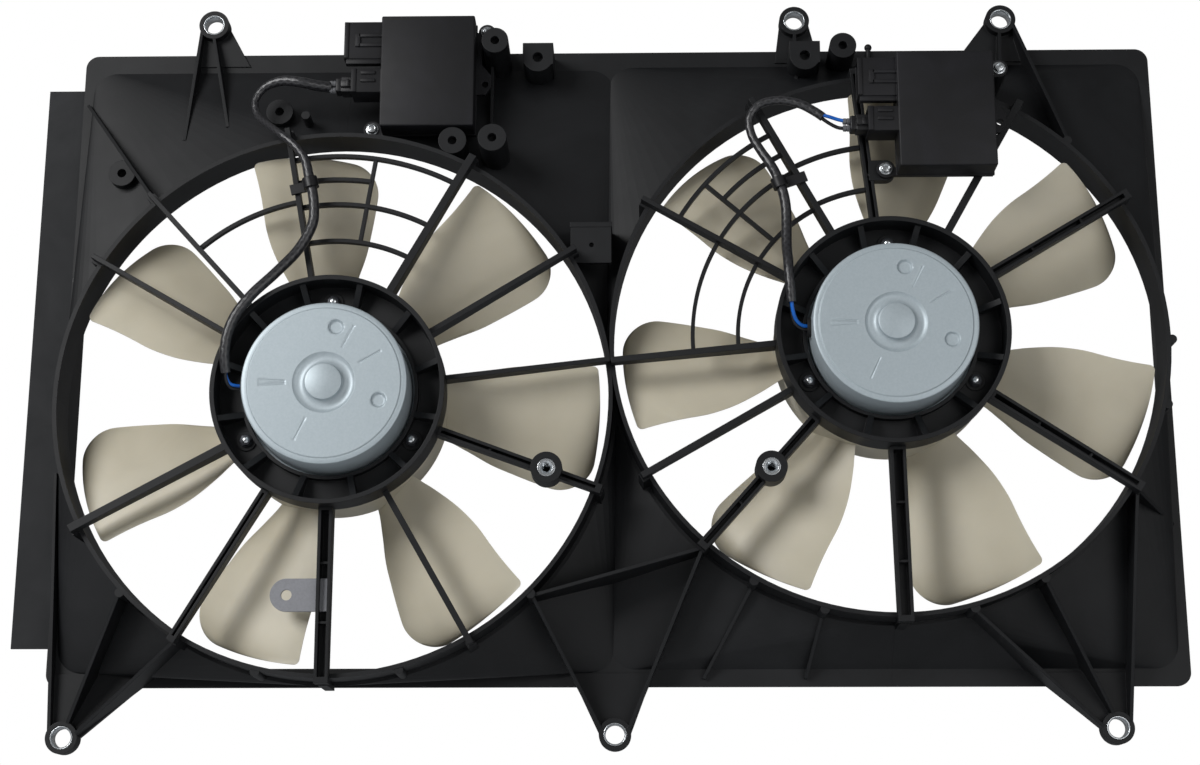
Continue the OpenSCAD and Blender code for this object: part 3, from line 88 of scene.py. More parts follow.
def smoothThrough(a, b, c, d, t):
    # the value at t between b and c on a smooth curve through all four
    square, cube = 2 * a - 5 * b + 4 * c - d, 3 * b - a - 3 * c + d
    return 0.5 * (2 * b + (c - a) * t + square * t * t + cube * t ** 3)


def finishPiece(name, bm, material, body, nodes, smoothAngle, merge=True):
    # edges sharper than smoothAngle, in degrees, stay sharp
    if merge:
        bmesh.ops.remove_doubles(bm, verts=bm.verts, dist=mergeReach)
    bmesh.ops.recalc_face_normals(bm, faces=bm.faces)
    mesh = bpy.data.meshes.new(name)
    bm.to_mesh(mesh)
    bm.free()
    mesh.shade_smooth()
    piece = bpy.data.objects.new(name, mesh)
    bpy.context.scene.collection.objects.link(piece)
    mesh.materials.append(material)
    mesh.set_sharp_from_angle(angle=math.radians(smoothAngle))
    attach(piece, body)
    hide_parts(*nodes)
    return piece


def joinOn(bm, own):
    bmesh.ops.recalc_face_normals(own, faces=own.faces)
    holder = bpy.data.meshes.new("holder")
    own.to_mesh(holder)
    own.free()
    bm.from_mesh(holder)
    bpy.data.meshes.remove(holder)


def spinProfile(bm, profile, axis, steps):
    # profile: (radius, Y) in millimetres, turned round the fan axis
    verts = [bm.verts.new((r * mm, y * mm, 0)) for r, y in profile]
    edges = []
    for i, start in enumerate(verts):
        following = (i + 1) % len(verts)
        if profile[i][0] or profile[following][0]:  # no edge lies along the axis
            edges.append(bm.edges.new((start, verts[following])))
    bmesh.ops.spin(bm, geom=verts + edges, cent=(0, 0, 0), axis=(0, 1, 0), angle=2 * math.pi,
                   steps=steps, use_merge=True)
    bmesh.ops.remove_doubles(bm, verts=bm.verts[:], dist=mergeReach)
    bmesh.ops.translate(bm, verts=bm.verts[:], vec=(axis[0] * mm, 0, axis[1] * mm))


def addTurned(bm, profile, place, steps, direction=(0, 1, 0)):
    # a turned form in its own mesh, moved to its place and joined on
    own = bmesh.new()
    spinProfile(own, profile, (0, 0), steps)
    turn = Vector((0, 1, 0)).rotation_difference(Vector(direction)).to_matrix().to_4x4()
    bmesh.ops.transform(own, matrix=Matrix.Translation(place) @ turn, verts=own.verts)
    joinOn(bm, own)


def boxBetween(low, high):
    # a plain box between two corners in millimetres, in its own mesh
    own = bmesh.new()
    bmesh.ops.create_cube(own, size=1)
    bmesh.ops.scale(own, vec=[(b - a) * mm for a, b in zip(low, high)], verts=own.verts)
    bmesh.ops.translate(own, vec=[(a + b) / 2 * mm for a, b in zip(low, high)], verts=own.verts)
    return own


def roundEdges(bm, edges, radius, segments):
    bmesh.ops.bevel(bm, geom=edges, offset=radius * mm, segments=segments, profile=0.5,
                    affect="EDGES", material=-1)


def addBlocks(bm, place, blocks):
    # blocks with rounded edges: two corners counted from a place, an edge radius and its segments
    for low, high, edge, segments in blocks:
        own = boxBetween([p + v for p, v in zip(place, low)], [p + v for p, v in zip(place, high)])
        roundEdges(own, own.edges[:], edge, segments)
        joinOn(bm, own)


# Camera, light and stage

view = {"place": (0.0145, -1.34265, -0.1074), "pitch": 0.2507, "yaw": -0.0181, "lens": 61.376,
        "sensor": 36, "farthest": 20}
camera = bpy.data.objects.new("camera", bpy.data.cameras.new("camera"))
bpy.context.scene.collection.objects.link(camera)
camera.location = view["place"]
heading = Vector((math.sin(view["yaw"]) * math.cos(view["pitch"]),
                  math.cos(view["yaw"]) * math.cos(view["pitch"]), math.sin(view["pitch"])))
camera.rotation_euler = heading.to_track_quat("-Z", "Y").to_euler()
camera.data.lens = view["lens"]
camera.data.sensor_fit = "HORIZONTAL"
camera.data.sensor_width = view["sensor"]
camera.data.clip_end = view["farthest"]
bpy.context.scene.camera = camera
bpy.context.scene.view_settings.view_transform = "Standard"

lamps = {
    "keyLamp": {"place": (-1.5, -1.7, 1.0), "size": 1.2, "power": 40},
    "fillLamp": {"place": (1.3, -2.1, 0.3), "size": 1.6, "power": 12},
}
lampTarget = Vector((0, 0, 0.24))
for name, lamp in lamps.items():
    data = bpy.data.lights.new(name, "AREA")
    data.shape = "DISK"
    data.size = lamp["size"]
    data.energy = lamp["power"]
    light = bpy.data.objects.new(name, data)
    bpy.context.scene.collection.objects.link(light)
    light.location = lamp["place"]
    light.rotation_euler = (lampTarget - light.location).to_track_quat("-Z", "Y").to_euler()

# light from all round, strong above and faint below, so that undersides fall dark
sky = {"fill": "#a3a5a8", "below": 0.03, "level": 0.29, "above": 0.36, "glossStrength": 0.5}
world = bpy.data.worlds.new("studio")
bpy.context.scene.world = world
world.use_nodes = True
tree = world.node_tree
rays = addNode(tree, "ShaderNodeLightPath").outputs
direction = addNode(tree, "ShaderNodeTexCoord").outputs["Generated"]
upward = addNode(tree, "ShaderNodeSeparateXYZ", {0: direction}).outputs["Z"]
fromBelow = addNode(tree, "ShaderNodeMapRange", {
    "Value": upward, "From Min": -1.0, "From Max": 0.0, "To Min": sky["below"], "To Max": sky["level"]})
fromAbove = addNode(tree, "ShaderNodeMapRange", {
    "Value": upward, "To Min": 0.0, "To Max": sky["above"] - sky["level"]})
bothSides = {0: fromBelow.outputs[0], 1: fromAbove.outputs[0]}
strength = addNode(tree, "ShaderNodeMath", bothSides, operation="ADD").outputs[0]
gloss = {0: strength, 1: sky["glossStrength"]}
glossStrength = addNode(tree, "ShaderNodeMath", gloss, operation="MULTIPLY").outputs[0]
background = tree.nodes["Background"]
background.inputs["Color"].default_value = linear(sky["fill"])
tree.links.new(strength, background.inputs["Strength"])
# the camera and clear pieces see plain white; gloss sees a white that dims towards the ground
white = (1, 1, 1, 1)
whiteSeen = addNode(tree, "ShaderNodeBackground", {"Color": white, "Strength": 1.0}).outputs[0]
whiteGloss = addNode(tree, "ShaderNodeBackground", {"Color": white, "Strength": glossStrength}).outputs[0]
seen = background.outputs[0]
shownTo = {"Is Glossy Ray": whiteGloss, "Is Transmission Ray": whiteSeen, "Is Camera Ray": whiteSeen}
for ray, shown in shownTo.items():
    seen = addNode(tree, "ShaderNodeMixShader", {0: rays[ray], 1: seen, 2: shown}).outputs[0]
tree.links.new(seen, tree.nodes["World Output"].inputs["Surface"])

ground = {"colour": "#eef0f2", "roughness": 0.8, "height": -0.55, "reach": 4}
floorMaterial = bpy.data.materials.new("paleFloor")
floorMaterial.use_nodes = True
floorShader = floorMaterial.node_tree.nodes["Principled BSDF"]
floorShader.inputs["Base Color"].default_value = linear(ground["colour"])
floorShader.inputs["Roughness"].default_value = ground["roughness"]
floorBm = bmesh.new()
bmesh.ops.create_grid(floorBm, x_segments=2, y_segments=2, size=ground["reach"])
bmesh.ops.translate(floorBm, vec=(0, 0, ground["height"]), verts=floorBm.verts)
floorMesh = bpy.data.meshes.new("floor")
floorBm.to_mesh(floorMesh)
floorBm.free()
floor = bpy.data.objects.new("floor", floorMesh)
floorMesh.materials.append(floorMaterial)
bpy.context.scene.collection.objects.link(floor)
print("camera, lamps and floor placed")


# Materials

def twoTones(tree, shader, share, tones):
    mix = addNode(tree, "ShaderNodeMix", {0: share, 6: linear(tones[0]), 7: linear(tones[1])},
                  data_type="RGBA")
    tree.links.new(mix.outputs[2], shader.inputs["Base Color"])


def varyRoughness(tree, shader, share, rough):
    spread = addNode(tree, "ShaderNodeMapRange", {"Value": share, "To Min": rough[0], "To Max": rough[1]})
    tree.links.new(spread.outputs["Result"], shader.inputs["Roughness"])


def roundedNormal(tree, edgeMm):
    return addNode(tree, "ShaderNodeBevel", {"Radius": edgeMm * mm}, samples=6).outputs["Normal"]


def mouldedPlastic(name, tones, cloudMm, grain, rough, edgeMm=0.6, specular=0.4):
    # flow clouds of a slightly paler tone, spark-eroded grain and softly rounded edges
    # tones: two colours; grain: its width and depth in mm; rough: the range of the roughness
    material, tree, shader, coords = startMaterial(name, IOR=1.5, Specular_IOR_Level=specular)
    clouds = addNode(tree, "ShaderNodeTexNoise", {
        "Vector": coords, "Scale": perMetre(cloudMm), "Detail": 5.0, "Roughness": 0.6, "Distortion": 0.8})
    tone = addNode(tree, "ShaderNodeMapRange", {
        "Value": clouds.outputs["Fac"], "From Min": 0.42, "From Max": 0.75})
    twoTones(tree, shader, tone.outputs["Result"], tones)
    patches = addNode(tree, "ShaderNodeTexNoise", {
        "Vector": coords, "Scale": perMetre(cloudMm / 3), "Detail": 3.0})
    varyRoughness(tree, shader, patches.outputs["Fac"], rough)
    pits = addNode(tree, "ShaderNodeTexNoise", {"Vector": coords, "Scale": perMetre(grain[0]), "Detail": 2.0})
    bump = addNode(tree, "ShaderNodeBump", {
        "Height": pits.outputs["Fac"], "Distance": grain[1] * mm, "Strength": 0.6})
    if edgeMm:
        tree.links.new(roundedNormal(tree, edgeMm), bump.inputs["Normal"])
    tree.links.new(bump.outputs["Normal"], shader.inputs["Normal"])
    return material


def metal(name, tones, metallic, rough, speckMm, stretch=(1, 1, 1)):
    # fine specks of tone and gloss, stretched where the metal is turned or stacked
    surface = {"speckDepth": 0.01, "edgeMm": 0.4}
    material, tree, shader, coords = startMaterial(name, Metallic=metallic)
    placed = addNode(tree, "ShaderNodeMapping", {"Vector": coords, "Scale": stretch}).outputs["Vector"]
    specks = addNode(tree, "ShaderNodeTexNoise", {
        "Vector": placed, "Scale": perMetre(speckMm), "Detail": 4.0}).outputs["Fac"]
    twoTones(tree, shader, specks, tones)
    varyRoughness(tree, shader, specks, rough)
    bump = addNode(tree, "ShaderNodeBump", {
        "Height": specks, "Distance": surface["speckDepth"] * mm, "Strength": 0.5,
        "Normal": roundedNormal(tree, surface["edgeMm"])})
    tree.links.new(bump.outputs["Normal"], shader.inputs["Normal"])
    return material


def naturalNylonMaterial():
    # uncoloured nylon, moulded: milky cream that lets a little light through, with cloudy flow marks
    look = {"tones": ("#b4ad9a", "#c8c1ae"), "cloudMm": 38, "rippleMm": 9, "rippleDepth": 0.05}
    material, tree, shader, coords = startMaterial("naturalNylon", IOR=1.53, Specular_IOR_Level=0.35,
                                                   Roughness=0.42, Subsurface_Weight=0.25,
                                                   Subsurface_Scale=0.004)
    shader.inputs["Subsurface Radius"].default_value = (1.0, 0.85, 0.6)
    clouds = addNode(tree, "ShaderNodeTexNoise", {
        "Vector": coords, "Scale": perMetre(look["cloudMm"]), "Detail": 4.0, "Distortion": 0.6})
    twoTones(tree, shader, clouds.outputs["Fac"], look["tones"])
    ripple = addNode(tree, "ShaderNodeTexNoise", {
        "Vector": coords, "Scale": perMetre(look["rippleMm"]), "Detail": 2.0})
    bump = addNode(tree, "ShaderNodeBump", {
        "Height": ripple.outputs["Fac"], "Distance": look["rippleDepth"] * mm, "Strength": 0.4})
    tree.links.new(bump.outputs["Normal"], shader.inputs["Normal"])
    return material


def wovenSheathMaterial():
    # black woven sleeve: yarns about 0.8 mm wide crossing on the slant, drawn at 1.6 mm so that they show
    look = {"tones": ("#111113", "#2b2b2e"), "yarnMm": 1.6, "waveLength": 6.28, "slant": 0.6, "depth": 0.15}
    material, tree, shader, coords = startMaterial("wovenSheath", IOR=1.5, Specular_IOR_Level=0.6,
                                                   Roughness=0.36)
    uv = addNode(tree, "ShaderNodeUVMap", uv_map="alongLead").outputs["UV"]
    waves = []
    for turn in (look["slant"], -look["slant"]):
        slanted = addNode(tree, "ShaderNodeMapping", {"Vector": uv, "Rotation": (0, 0, turn)})
        waves.append(addNode(tree, "ShaderNodeTexWave", {
            "Vector": slanted.outputs["Vector"], "Scale": perMetre(look["yarnMm"]) / look["waveLength"],
            "Distortion": 0.3}))
    crossed = {0: waves[0].outputs["Fac"], 1: waves[1].outputs["Fac"]}
    high = addNode(tree, "ShaderNodeMath", crossed, operation="MAXIMUM").outputs[0]
    twoTones(tree, shader, high, look["tones"])
    bump = addNode(tree, "ShaderNodeBump", {"Height": high, "Distance": look["depth"] * mm, "Strength": 0.7})
    tree.links.new(bump.outputs["Normal"], shader.inputs["Normal"])
    return material


# glass-filled nylon, moulded: near black and half matt, with faint clouds where the melt flowed
shroudNylon = mouldedPlastic("mouldedNylon", ("#111214", "#1a1b1d"), 70, (1.1, 0.03), (0.46, 0.56),
                             specular=0.28)
# the same nylon for pan and barrels, with plain edges so that their hairlines don't catch the light
panNylon = mouldedPlastic("panNylon", ("#111214", "#1a1b1d"), 70, (1.1, 0.03), (0.46, 0.56),
                          edgeMm=0, specular=0.28)
# moulded nylon of the module cases: black, with a deeper grain that breaks the sheen
caseNylon = mouldedPlastic("caseNylon", ("#161618", "#1c1c20"), 30, (0.8, 0.05), (0.45, 0.6), specular=0.28)
# moulded nylon of clips and plugs: smoother and a little shinier than the shroud
clipNylon = mouldedPlastic("clipNylon", ("#121214", "#1b1b1e"), 15, (0.8, 0.02), (0.35, 0.5), specular=0.35)
# extruded rubber strip: dark grey and dull
stripRubber = mouldedPlastic("stripRubber", ("#1d1e20", "#27282a"), 60, (1.5, 0.04), (0.6, 0.75),
                             specular=0.25)
# moulded rubber grommets: black and dull
grommetRubber = mouldedPlastic("grommetRubber", ("#101011", "#19191b"), 10, (1.0, 0.03), (0.55, 0.7))
# silicone wire seals: mid grey with a soft sheen
sealRubber = mouldedPlastic("sealRubber", ("#58595c", "#6c6d70"), 8, (0.8, 0.02), (0.5, 0.65))
# extruded wire insulation: saturated blue, smooth and shiny
blueInsulation = mouldedPlastic("blueInsulation", ("#0a58b4", "#1670d2"), 12, (0.8, 0.01), (0.3, 0.4))
# extruded wire insulation in black
blackInsulation = mouldedPlastic("blackInsulation", ("#121214", "#1c1c1f"), 12, (0.8, 0.01), (0.3, 0.4))
# phenolic laminate of the brush cards: brown with a dull face
laminateBoard = mouldedPlastic("laminateBoard", ("#6b4128", "#85543a"), 20, (0.8, 0.02), (0.5, 0.65))
# pressed carbon brushes: near black, mottled with grey
carbonBlock = mouldedPlastic("carbonBlock", ("#1b1b1d", "#333336"), 4, (0.5, 0.03), (0.5, 0.7))
# lacquered circuit board: green and glossy
solderMask = mouldedPlastic("solderMask", ("#1f5a33", "#2f7443"), 12, (1.0, 0.02), (0.25, 0.4))
naturalNylon = naturalNylonMaterial()
wovenSheath = wovenSheathMaterial()
# zinc-plated drawn steel of the motor cans: pale blue-grey and satin
zincPlate = metal("zincPlate", ("#a2aeb4", "#b4bec3"), 0.3, (0.38, 0.52), 1.4)
# bright zinc plate on bushes, inserts and small screws: silver with sharp glints
brightZinc = metal("brightZinc", ("#c4c9cc", "#e2e5e8"), 0.95, (0.18, 0.32), 1.0)
# phosphated steel screws: dark grey with a low sheen
darkSteel = metal("phosphatedSteel", ("#2b2c30", "#43454a"), 0.6, (0.35, 0.5), 0.8)
# plated sheet steel of the bracket: mid grey and dull
bracketSteel = metal("bracketSteel", ("#77787c", "#8b8c91"), 0.45, (0.4, 0.55), 1.2)
# turned steel shafts and drawn springs: bright, with fine rings round the axis
turnedSteel = metal("turnedSteel", ("#8d8e92", "#b0b1b5"), 0.95, (0.22, 0.38), 0.8, stretch=(1, 6, 1))
# stacked electrical steel of the armature: grey, striped by its sheets
sheetSteel = metal("laminationSteel", ("#5a5b60", "#77787d"), 0.8, (0.4, 0.55), 0.9, stretch=(1, 8, 1))
# enamelled copper windings and commutator: warm and satin
copperWire = metal("copperWire", ("#a35f33", "#c47d4b"), 0.9, (0.3, 0.45), 0.9)
# sintered ferrite magnets: dark grey and stony
ferriteStone = metal("ferriteStone", ("#37383b", "#4a4b4f"), 0.1, (0.5, 0.65), 1.0)
# sintered bronze bearings: dull gold
sinteredBronze = metal("sinteredBronze", ("#8a6d3f", "#a98b56"), 0.8, (0.4, 0.6), 0.7)

# a node takes the finish of its whole name, or of its name without left or right
nodeFinish = {
    "pan": panNylon, "barrel": panNylon, "shroud_ribs": shroudNylon, "shroud_bosses": shroudNylon,
    "motor_carrier": shroudNylon, "motor_arms": shroudNylon, "finger_guard": shroudNylon,
    "tab_bushes": brightZinc, "threaded_inserts": brightZinc, "side_baffle": stripRubber,
    "baffle_clips": clipNylon, "steel_bracket": bracketSteel, "wire_clips": clipNylon,
    "fan": naturalNylon, "shaft": turnedSteel, "armature_core": sheetSteel, "windings": copperWire,
    "commutator": copperWire, "fan_washer": brightZinc, "fan_nut": brightZinc, "motor_can": zincPlate,
    "end_plate": zincPlate, "magnets": ferriteStone, "brush_holder": laminateBoard,
    "brushes": carbonBlock, "brush_springs": turnedSteel, "motor_bearings": sinteredBronze,
    "motor_screws": darkSteel, "grommet": grommetRubber, "motor_lead": wovenSheath,
    "lead_plug": clipNylon, "module_case": caseNylon, "module_base": caseNylon,
    "circuit_board": solderMask, "module_screws": brightZinc,
}
for nodeName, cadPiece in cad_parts.items():
    finish = nodeFinish.get(nodeName) or nodeFinish[nodeName.split("_", 1)[1]]
    cadPiece.data.materials.clear()
    cadPiece.data.materials.append(finish)
print("materials made and given to the frame")


# Fans: seven swept blades on a hub; radii and depths in millimetres, edges in degrees at each station
fan = {
    "blades": 7, "phase": {"left": -57.5, "right": -70.5}, "rootRadius": 73.0, "tipRadius": 174.5,
    "middle": -31.5, "rootDepth": 29.0, "tipDepth": 27.0, "camber": 3.5,
    "thickness": 2.6, "edgeShare": 0.45, "tipThinning": 0.35,
    "stations": [0, 0.16, 0.34, 0.52, 0.7, 0.84, 1.0],
    "lowEdge": [-10.5, -12.5, -14.5, -15.0, -15.1, -14.9, -14.4],
    "highEdge": [13.5, 15.5, 16.5, 16.0, 14.5, 13.7, 13.3],
    "lowCorner": 24.0, "highCorner": 3.5, "across": 28, "along": 44, "tipCrowding": 2.2,
}
hub = {
    "profile": [(4.1, -15.2), (9.5, -15.0), (24, -15.0), (25, -15.6), (60, -15.6), (61, -15.0),
                (71, -15.0), (73, -15.6), (74, -17.2), (74, -46.2), (73.4, -46.9), (72.2, -46.9),
                (71.4, -46.2), (71.4, -20), (69.5, -18), (12, -18), (11, -19), (11, -33.6),
                (10.4, -34.3), (4.1, -34.3)],
    "turns": 128, "ribs": 8, "rib": [((10.5, -26, -1), (71.8, -17.5, 1), 0.5, 2)],
}


def alongBlade(values, s):
    # smooth curve through an edge's values at the stations
    stations = fan["stations"]
    for i in range(len(stations) - 1):
        if s <= stations[i + 1]:
            break
    t = (s - stations[i]) / (stations[i + 1] - stations[i])
    last = len(values) - 1
    return smoothThrough(values[max(i - 1, 0)], values[i], values[i + 1], values[min(i + 2, last)], t)


def cornerTrim(fromTip, radius):
    # angle that a rounded corner takes off an edge, this far from the tip
    if fromTip >= radius:
        return 0.0
    trim = radius - math.sqrt(max(radius ** 2 - (radius - fromTip) ** 2, 0))
    return math.degrees(trim / (fan["tipRadius"] - fromTip))


def shapeBlade(bm, face):
    # one face of a blade: -1 is its front, 1 its back
    bmesh.ops.create_grid(bm, x_segments=fan["across"], y_segments=fan["along"], size=0.5)
    span = fan["tipRadius"] - fan["rootRadius"]
    for v in bm.verts:
        u = v.co.x
        arch = 1 - 4 * u * u  # 1 along the blade's middle line, 0 at its edges
        fromTip = span * (0.5 - v.co.y) ** fan["tipCrowding"]  # rows crowd where the corners turn
        s = 1 - fromTip / span
        radius = fan["tipRadius"] - fromTip
        low = alongBlade(fan["lowEdge"], s) + cornerTrim(fromTip, fan["lowCorner"])
        high = alongBlade(fan["highEdge"], s) - cornerTrim(fromTip, fan["highCorner"])
        angle = math.radians(low + (u + 0.5) * (high - low))
        depth = fan["rootDepth"] + s * (fan["tipDepth"] - fan["rootDepth"])
        bow = fan["camber"] * (arch - 0.5)
        fullness = fan["edgeShare"] + (1 - fan["edgeShare"]) * arch
        thick = fan["thickness"] * fullness * (1 - fan["tipThinning"] * s)
        y = fan["middle"] - u * depth - bow + face * thick / 2
        v.co = Vector((radius * math.cos(angle), y, radius * math.sin(angle))) * mm


for side, axis in sides.items():
    atAxis = Matrix.Translation((axis[0] * mm, 0, axis[1] * mm))
    bladesBm = bmesh.new()
    for i in range(fan["blades"]):
        own = bmesh.new()
        for face in (-1, 1):
            half = bmesh.new()
            shapeBlade(half, face)
            joinOn(own, half)
        bmesh.ops.bridge_loops(own, edges=[e for e in own.edges if e.is_boundary])
        turn = Matrix.Rotation(-math.radians(fan["phase"][side] + i * 360 / fan["blades"]), 4, "Y")
        bmesh.ops.transform(own, matrix=atAxis @ turn, verts=own.verts)
        joinOn(bladesBm, own)
    blades = finishPiece(side + "FanBlades", bladesBm, naturalNylon, side + "_rotor", [side + "_fan"],
                         smoothAngle=50, merge=False)
    hubBm = bmesh.new()
    spinProfile(hubBm, hub["profile"], axis, hub["turns"])
    for i in range(hub["ribs"]):
        # ribs between the boss and the hub's skirt
        own = bmesh.new()
        addBlocks(own, (0, 0, 0), hub["rib"])
        turn = Matrix.Rotation(math.radians(i * 360 / hub["ribs"]), 4, "Y")
        bmesh.ops.transform(own, matrix=atAxis @ turn, verts=own.verts)
        joinOn(hubBm, own)
    hubPiece = finishPiece(side + "FanHub", hubBm, naturalNylon, side + "_rotor", [side + "_fan"],
                           smoothAngle=30)
print("fans made")


# Motor cans: a drawn steel cup, its face pressed with a ring groove, two dimples and fine lines
can = {
    "face": -90.0, "faceFrom": 20, "faceTo": 48.6, "faceStep": 0.5, "faceSlack": 0.001, "turns": 288,
    "boss": [(0, -93), (10.6, -93), (11.6, -92.6), (12, -91.8), (12, -90.2), (12.6, -89.4),
             (13.6, -88.7), (15.2, -88.35), (17.2, -88.35), (18.6, -88.8), (20, -90)],
    "outside": [(48.6, -90), (49.4, -89.3), (51.4, -89.3), (52.5, -88.8), (53, -87.8), (53, -54.4),
                (53.4, -54), (57, -54), (57, -51.5)],
    "inside": [(51.2, -51.5), (51, -53), (51, -88), (11.6, -88), (11.6, -84), (8.05, -84),
               (8.05, -91.6), (0, -91.6)],
    "dimples": [(37, 79.5), (37, -18.5)],  # reach and angle
    "dimpleRadius": 5.1, "dimpleDepth": 1.7, "dimpleBlend": 1.3,
    "lines": [(64, 25, 42), (30, 25, 42), (178, 24, 42), (182, 24, 42), (245, 25, 42)],  # angle, from, to
    "lineWidth": 1.5, "lineDepth": 0.5, "lineBlend": 0.6, "lineEndBlend": 1.0,
    "earReach": 62, "earAngles": (90, 210, 330), "earTurns": 32,
    "ear": [(2.6, -51.5), (6.2, -51.5), (6.5, -51.8), (6.5, -53.7), (6.2, -54), (2.6, -54)],
}


def soft(value):
    value = min(max(value, 0.0), 1.0)
    return value * value * (3 - 2 * value)


def pressedFace(x, z):
    # how far the face is pushed in (positive) at a place on it, in millimetres
    push = 0.0
    for reach, angle in can["dimples"]:
        a = math.radians(angle)
        gap = math.hypot(x - reach * math.cos(a), z - reach * math.sin(a))
        push += can["dimpleDepth"] * soft((can["dimpleRadius"] - gap) / can["dimpleBlend"])
    for angle, start, end in can["lines"]:
        a = math.radians(angle)
        along = x * math.cos(a) + z * math.sin(a)
        beside = abs(z * math.cos(a) - x * math.sin(a))
        ends = soft((along - start) / can["lineEndBlend"]) * soft((end - along) / can["lineEndBlend"])
        push += can["lineDepth"] * ends * soft((can["lineWidth"] / 2 - beside) / can["lineBlend"])
    return push


for side, axis in sides.items():
    bm = bmesh.new()
    rings = int((can["faceTo"] - can["faceFrom"]) / can["faceStep"])
    flat = [(can["faceFrom"] + can["faceStep"] * i, can["face"]) for i in range(1, rings)]
    spinProfile(bm, can["boss"] + flat + can["outside"] + can["inside"], (0, 0), can["turns"])
    for v in bm.verts:
        onFace = abs(v.co.y / mm - can["face"]) < can["faceSlack"]
        if onFace and math.hypot(v.co.x, v.co.z) / mm > can["faceFrom"]:
            v.co.y += pressedFace(v.co.x / mm, v.co.z / mm) * mm
    bmesh.ops.translate(bm, verts=bm.verts[:], vec=(axis[0] * mm, 0, axis[1] * mm))
    for angle in can["earAngles"]:
        # the round ear under a motor screw
        addTurned(bm, can["ear"], polar(axis, can["earReach"], angle), can["earTurns"])
    piece = finishPiece(side + "MotorCan", bm, zincPlate, "housing", [side + "_motor_can"], smoothAngle=28)
print("motor cans made")


# Fasteners, bushes and inserts: profiles are radius and Y, hexagons are radius, back and front
hexEdge = {"radius": 0.35, "segments": 2}
motorScrew = {
    "turns": (0.2, 0.7, 0.45), "hexagon": (3.9, -59, -61.6), "headSteps": 32, "glintDomeSteps": 24,
    "head": [(0, -49.6), (2.0, -49.6), (2.5, -50.2), (2.5, -58), (4.2, -58), (4.3, -58.3), (4.0, -59),
             (0, -59)],
    # tip: a bright zinc dome on the face of each dark head, a painted highlight that stands in for the glint
    # on the screw head
    "tip": [(0, -61.4), (2.3, -61.4), (2.3, -61.7), (1.7, -62.2), (0.8, -62.4), (0, -62.45)],
}
modules = {"left": {"corner": (-158.2, 403.2), "back": -31.0},
           "right": {"corner": (187.5, 360.6), "back": -63.0}}
moduleScrew = {
    # Y counts from the module's back
    "ears": [(-7, 4.9), (70.9, 75.8)], "turns": (0.3, 0.8), "hexagon": (3.9, -0.7, -2.2), "steps": 48,
    "profile": [(0, 9.6), (1.6, 9.6), (2.1, 8.8), (2.1, 0), (4.3, 0), (4.5, -0.25), (4.2, -0.8),
                (3.3, -0.9), (3.3, -2.2), (2.9, -2.9), (2.0, -3.1), (1.8, -1.7), (0, -1.5)],
}
bush = {
    "places": [(-282.3, 496.0), (126.9, 496.0), (271.5, 496.0), (-358.5, -1.7), (0, 0), (323.3, 3.7)],
    "profile": [(6.2, -0.7), (6.7, -0.02), (7.2, -0.02), (7.5, -0.3), (7.5, -9.7), (7.3, -9.98),
                (6.9, -9.98), (6.2, -9.1)],
    "steps": 96,
}
insert = {
    "places": [("left", 149.7, -20), ("right", 119.4, -131.8)],  # side, reach and angle
    "profile": [(3.3, -54.9), (5.7, -54.9), (6.0, -55.2), (6.0, -68.4), (5.6, -68.8), (4.2, -68.8),
                (3.7, -68.3)],
    "threads": 12, "threadFrom": -67.4, "crestFrom": -66.9, "root": 3.0, "crest": 2.65, "steps": 64,
}


def addHexHead(bm, x, z, hexagon, turn):
    radius, back, front = hexagon
    own = bmesh.new()
    bmesh.ops.create_cone(own, cap_ends=True, segments=6, radius1=radius * mm, radius2=radius * mm,
                          depth=(back - front) * mm)
    roundEdges(own, own.edges[:], hexEdge["radius"], hexEdge["segments"])
    upright = Matrix.Rotation(math.pi / 2, 4, "X") @ Matrix.Rotation(turn, 4, "Z")
    place = Matrix.Translation((x * mm, (back + front) / 2 * mm, z * mm))
    bmesh.ops.transform(own, matrix=place @ upright, verts=own.verts)
    joinOn(bm, own)


headBm = bmesh.new()
glintDomeBm = bmesh.new()
for axis in sides.values():
    for angle, turn in zip(can["earAngles"], motorScrew["turns"]):
        place = polar(axis, can["earReach"], angle)
        addTurned(headBm, motorScrew["head"], place, motorScrew["headSteps"])
        addHexHead(headBm, place.x / mm, place.z / mm, motorScrew["hexagon"], turn)
        addTurned(glintDomeBm, motorScrew["tip"], place, motorScrew["glintDomeSteps"])
heads = finishPiece("motorScrewHeads", headBm, darkSteel, "housing", ["motor_screws"], smoothAngle=30)
# the bright zinc domes are painted highlights: they stand in for the glints on the dark screw heads
glintDomes = finishPiece("motorScrewGlintDomes", glintDomeBm, brightZinc, "housing", ["motor_screws"], smoothAngle=40)

bm = bmesh.new()
for module in modules.values():
    back = module["back"]
    profile = [(r, back + y) for r, y in moduleScrew["profile"]]
    radius, hexBack, hexFront = moduleScrew["hexagon"]
    for ear, turn in zip(moduleScrew["ears"], moduleScrew["turns"]):
        x, z = module["corner"][0] + ear[0], module["corner"][1] + ear[1]
        addTurned(bm, profile, Vector((x * mm, 0, z * mm)), moduleScrew["steps"])
        addHexHead(bm, x, z, (radius, back + hexBack, back + hexFront), turn)
piece = finishPiece("moduleScrews", bm, brightZinc, "housing", ["module_screws"], smoothAngle=32)

bm = bmesh.new()
for x, z in bush["places"]:
    addTurned(bm, bush["profile"], Vector((x * mm, 0, z * mm)), bush["steps"])
piece = finishPiece("tabBushes", bm, brightZinc, "housing", ["tab_bushes"], smoothAngle=40)

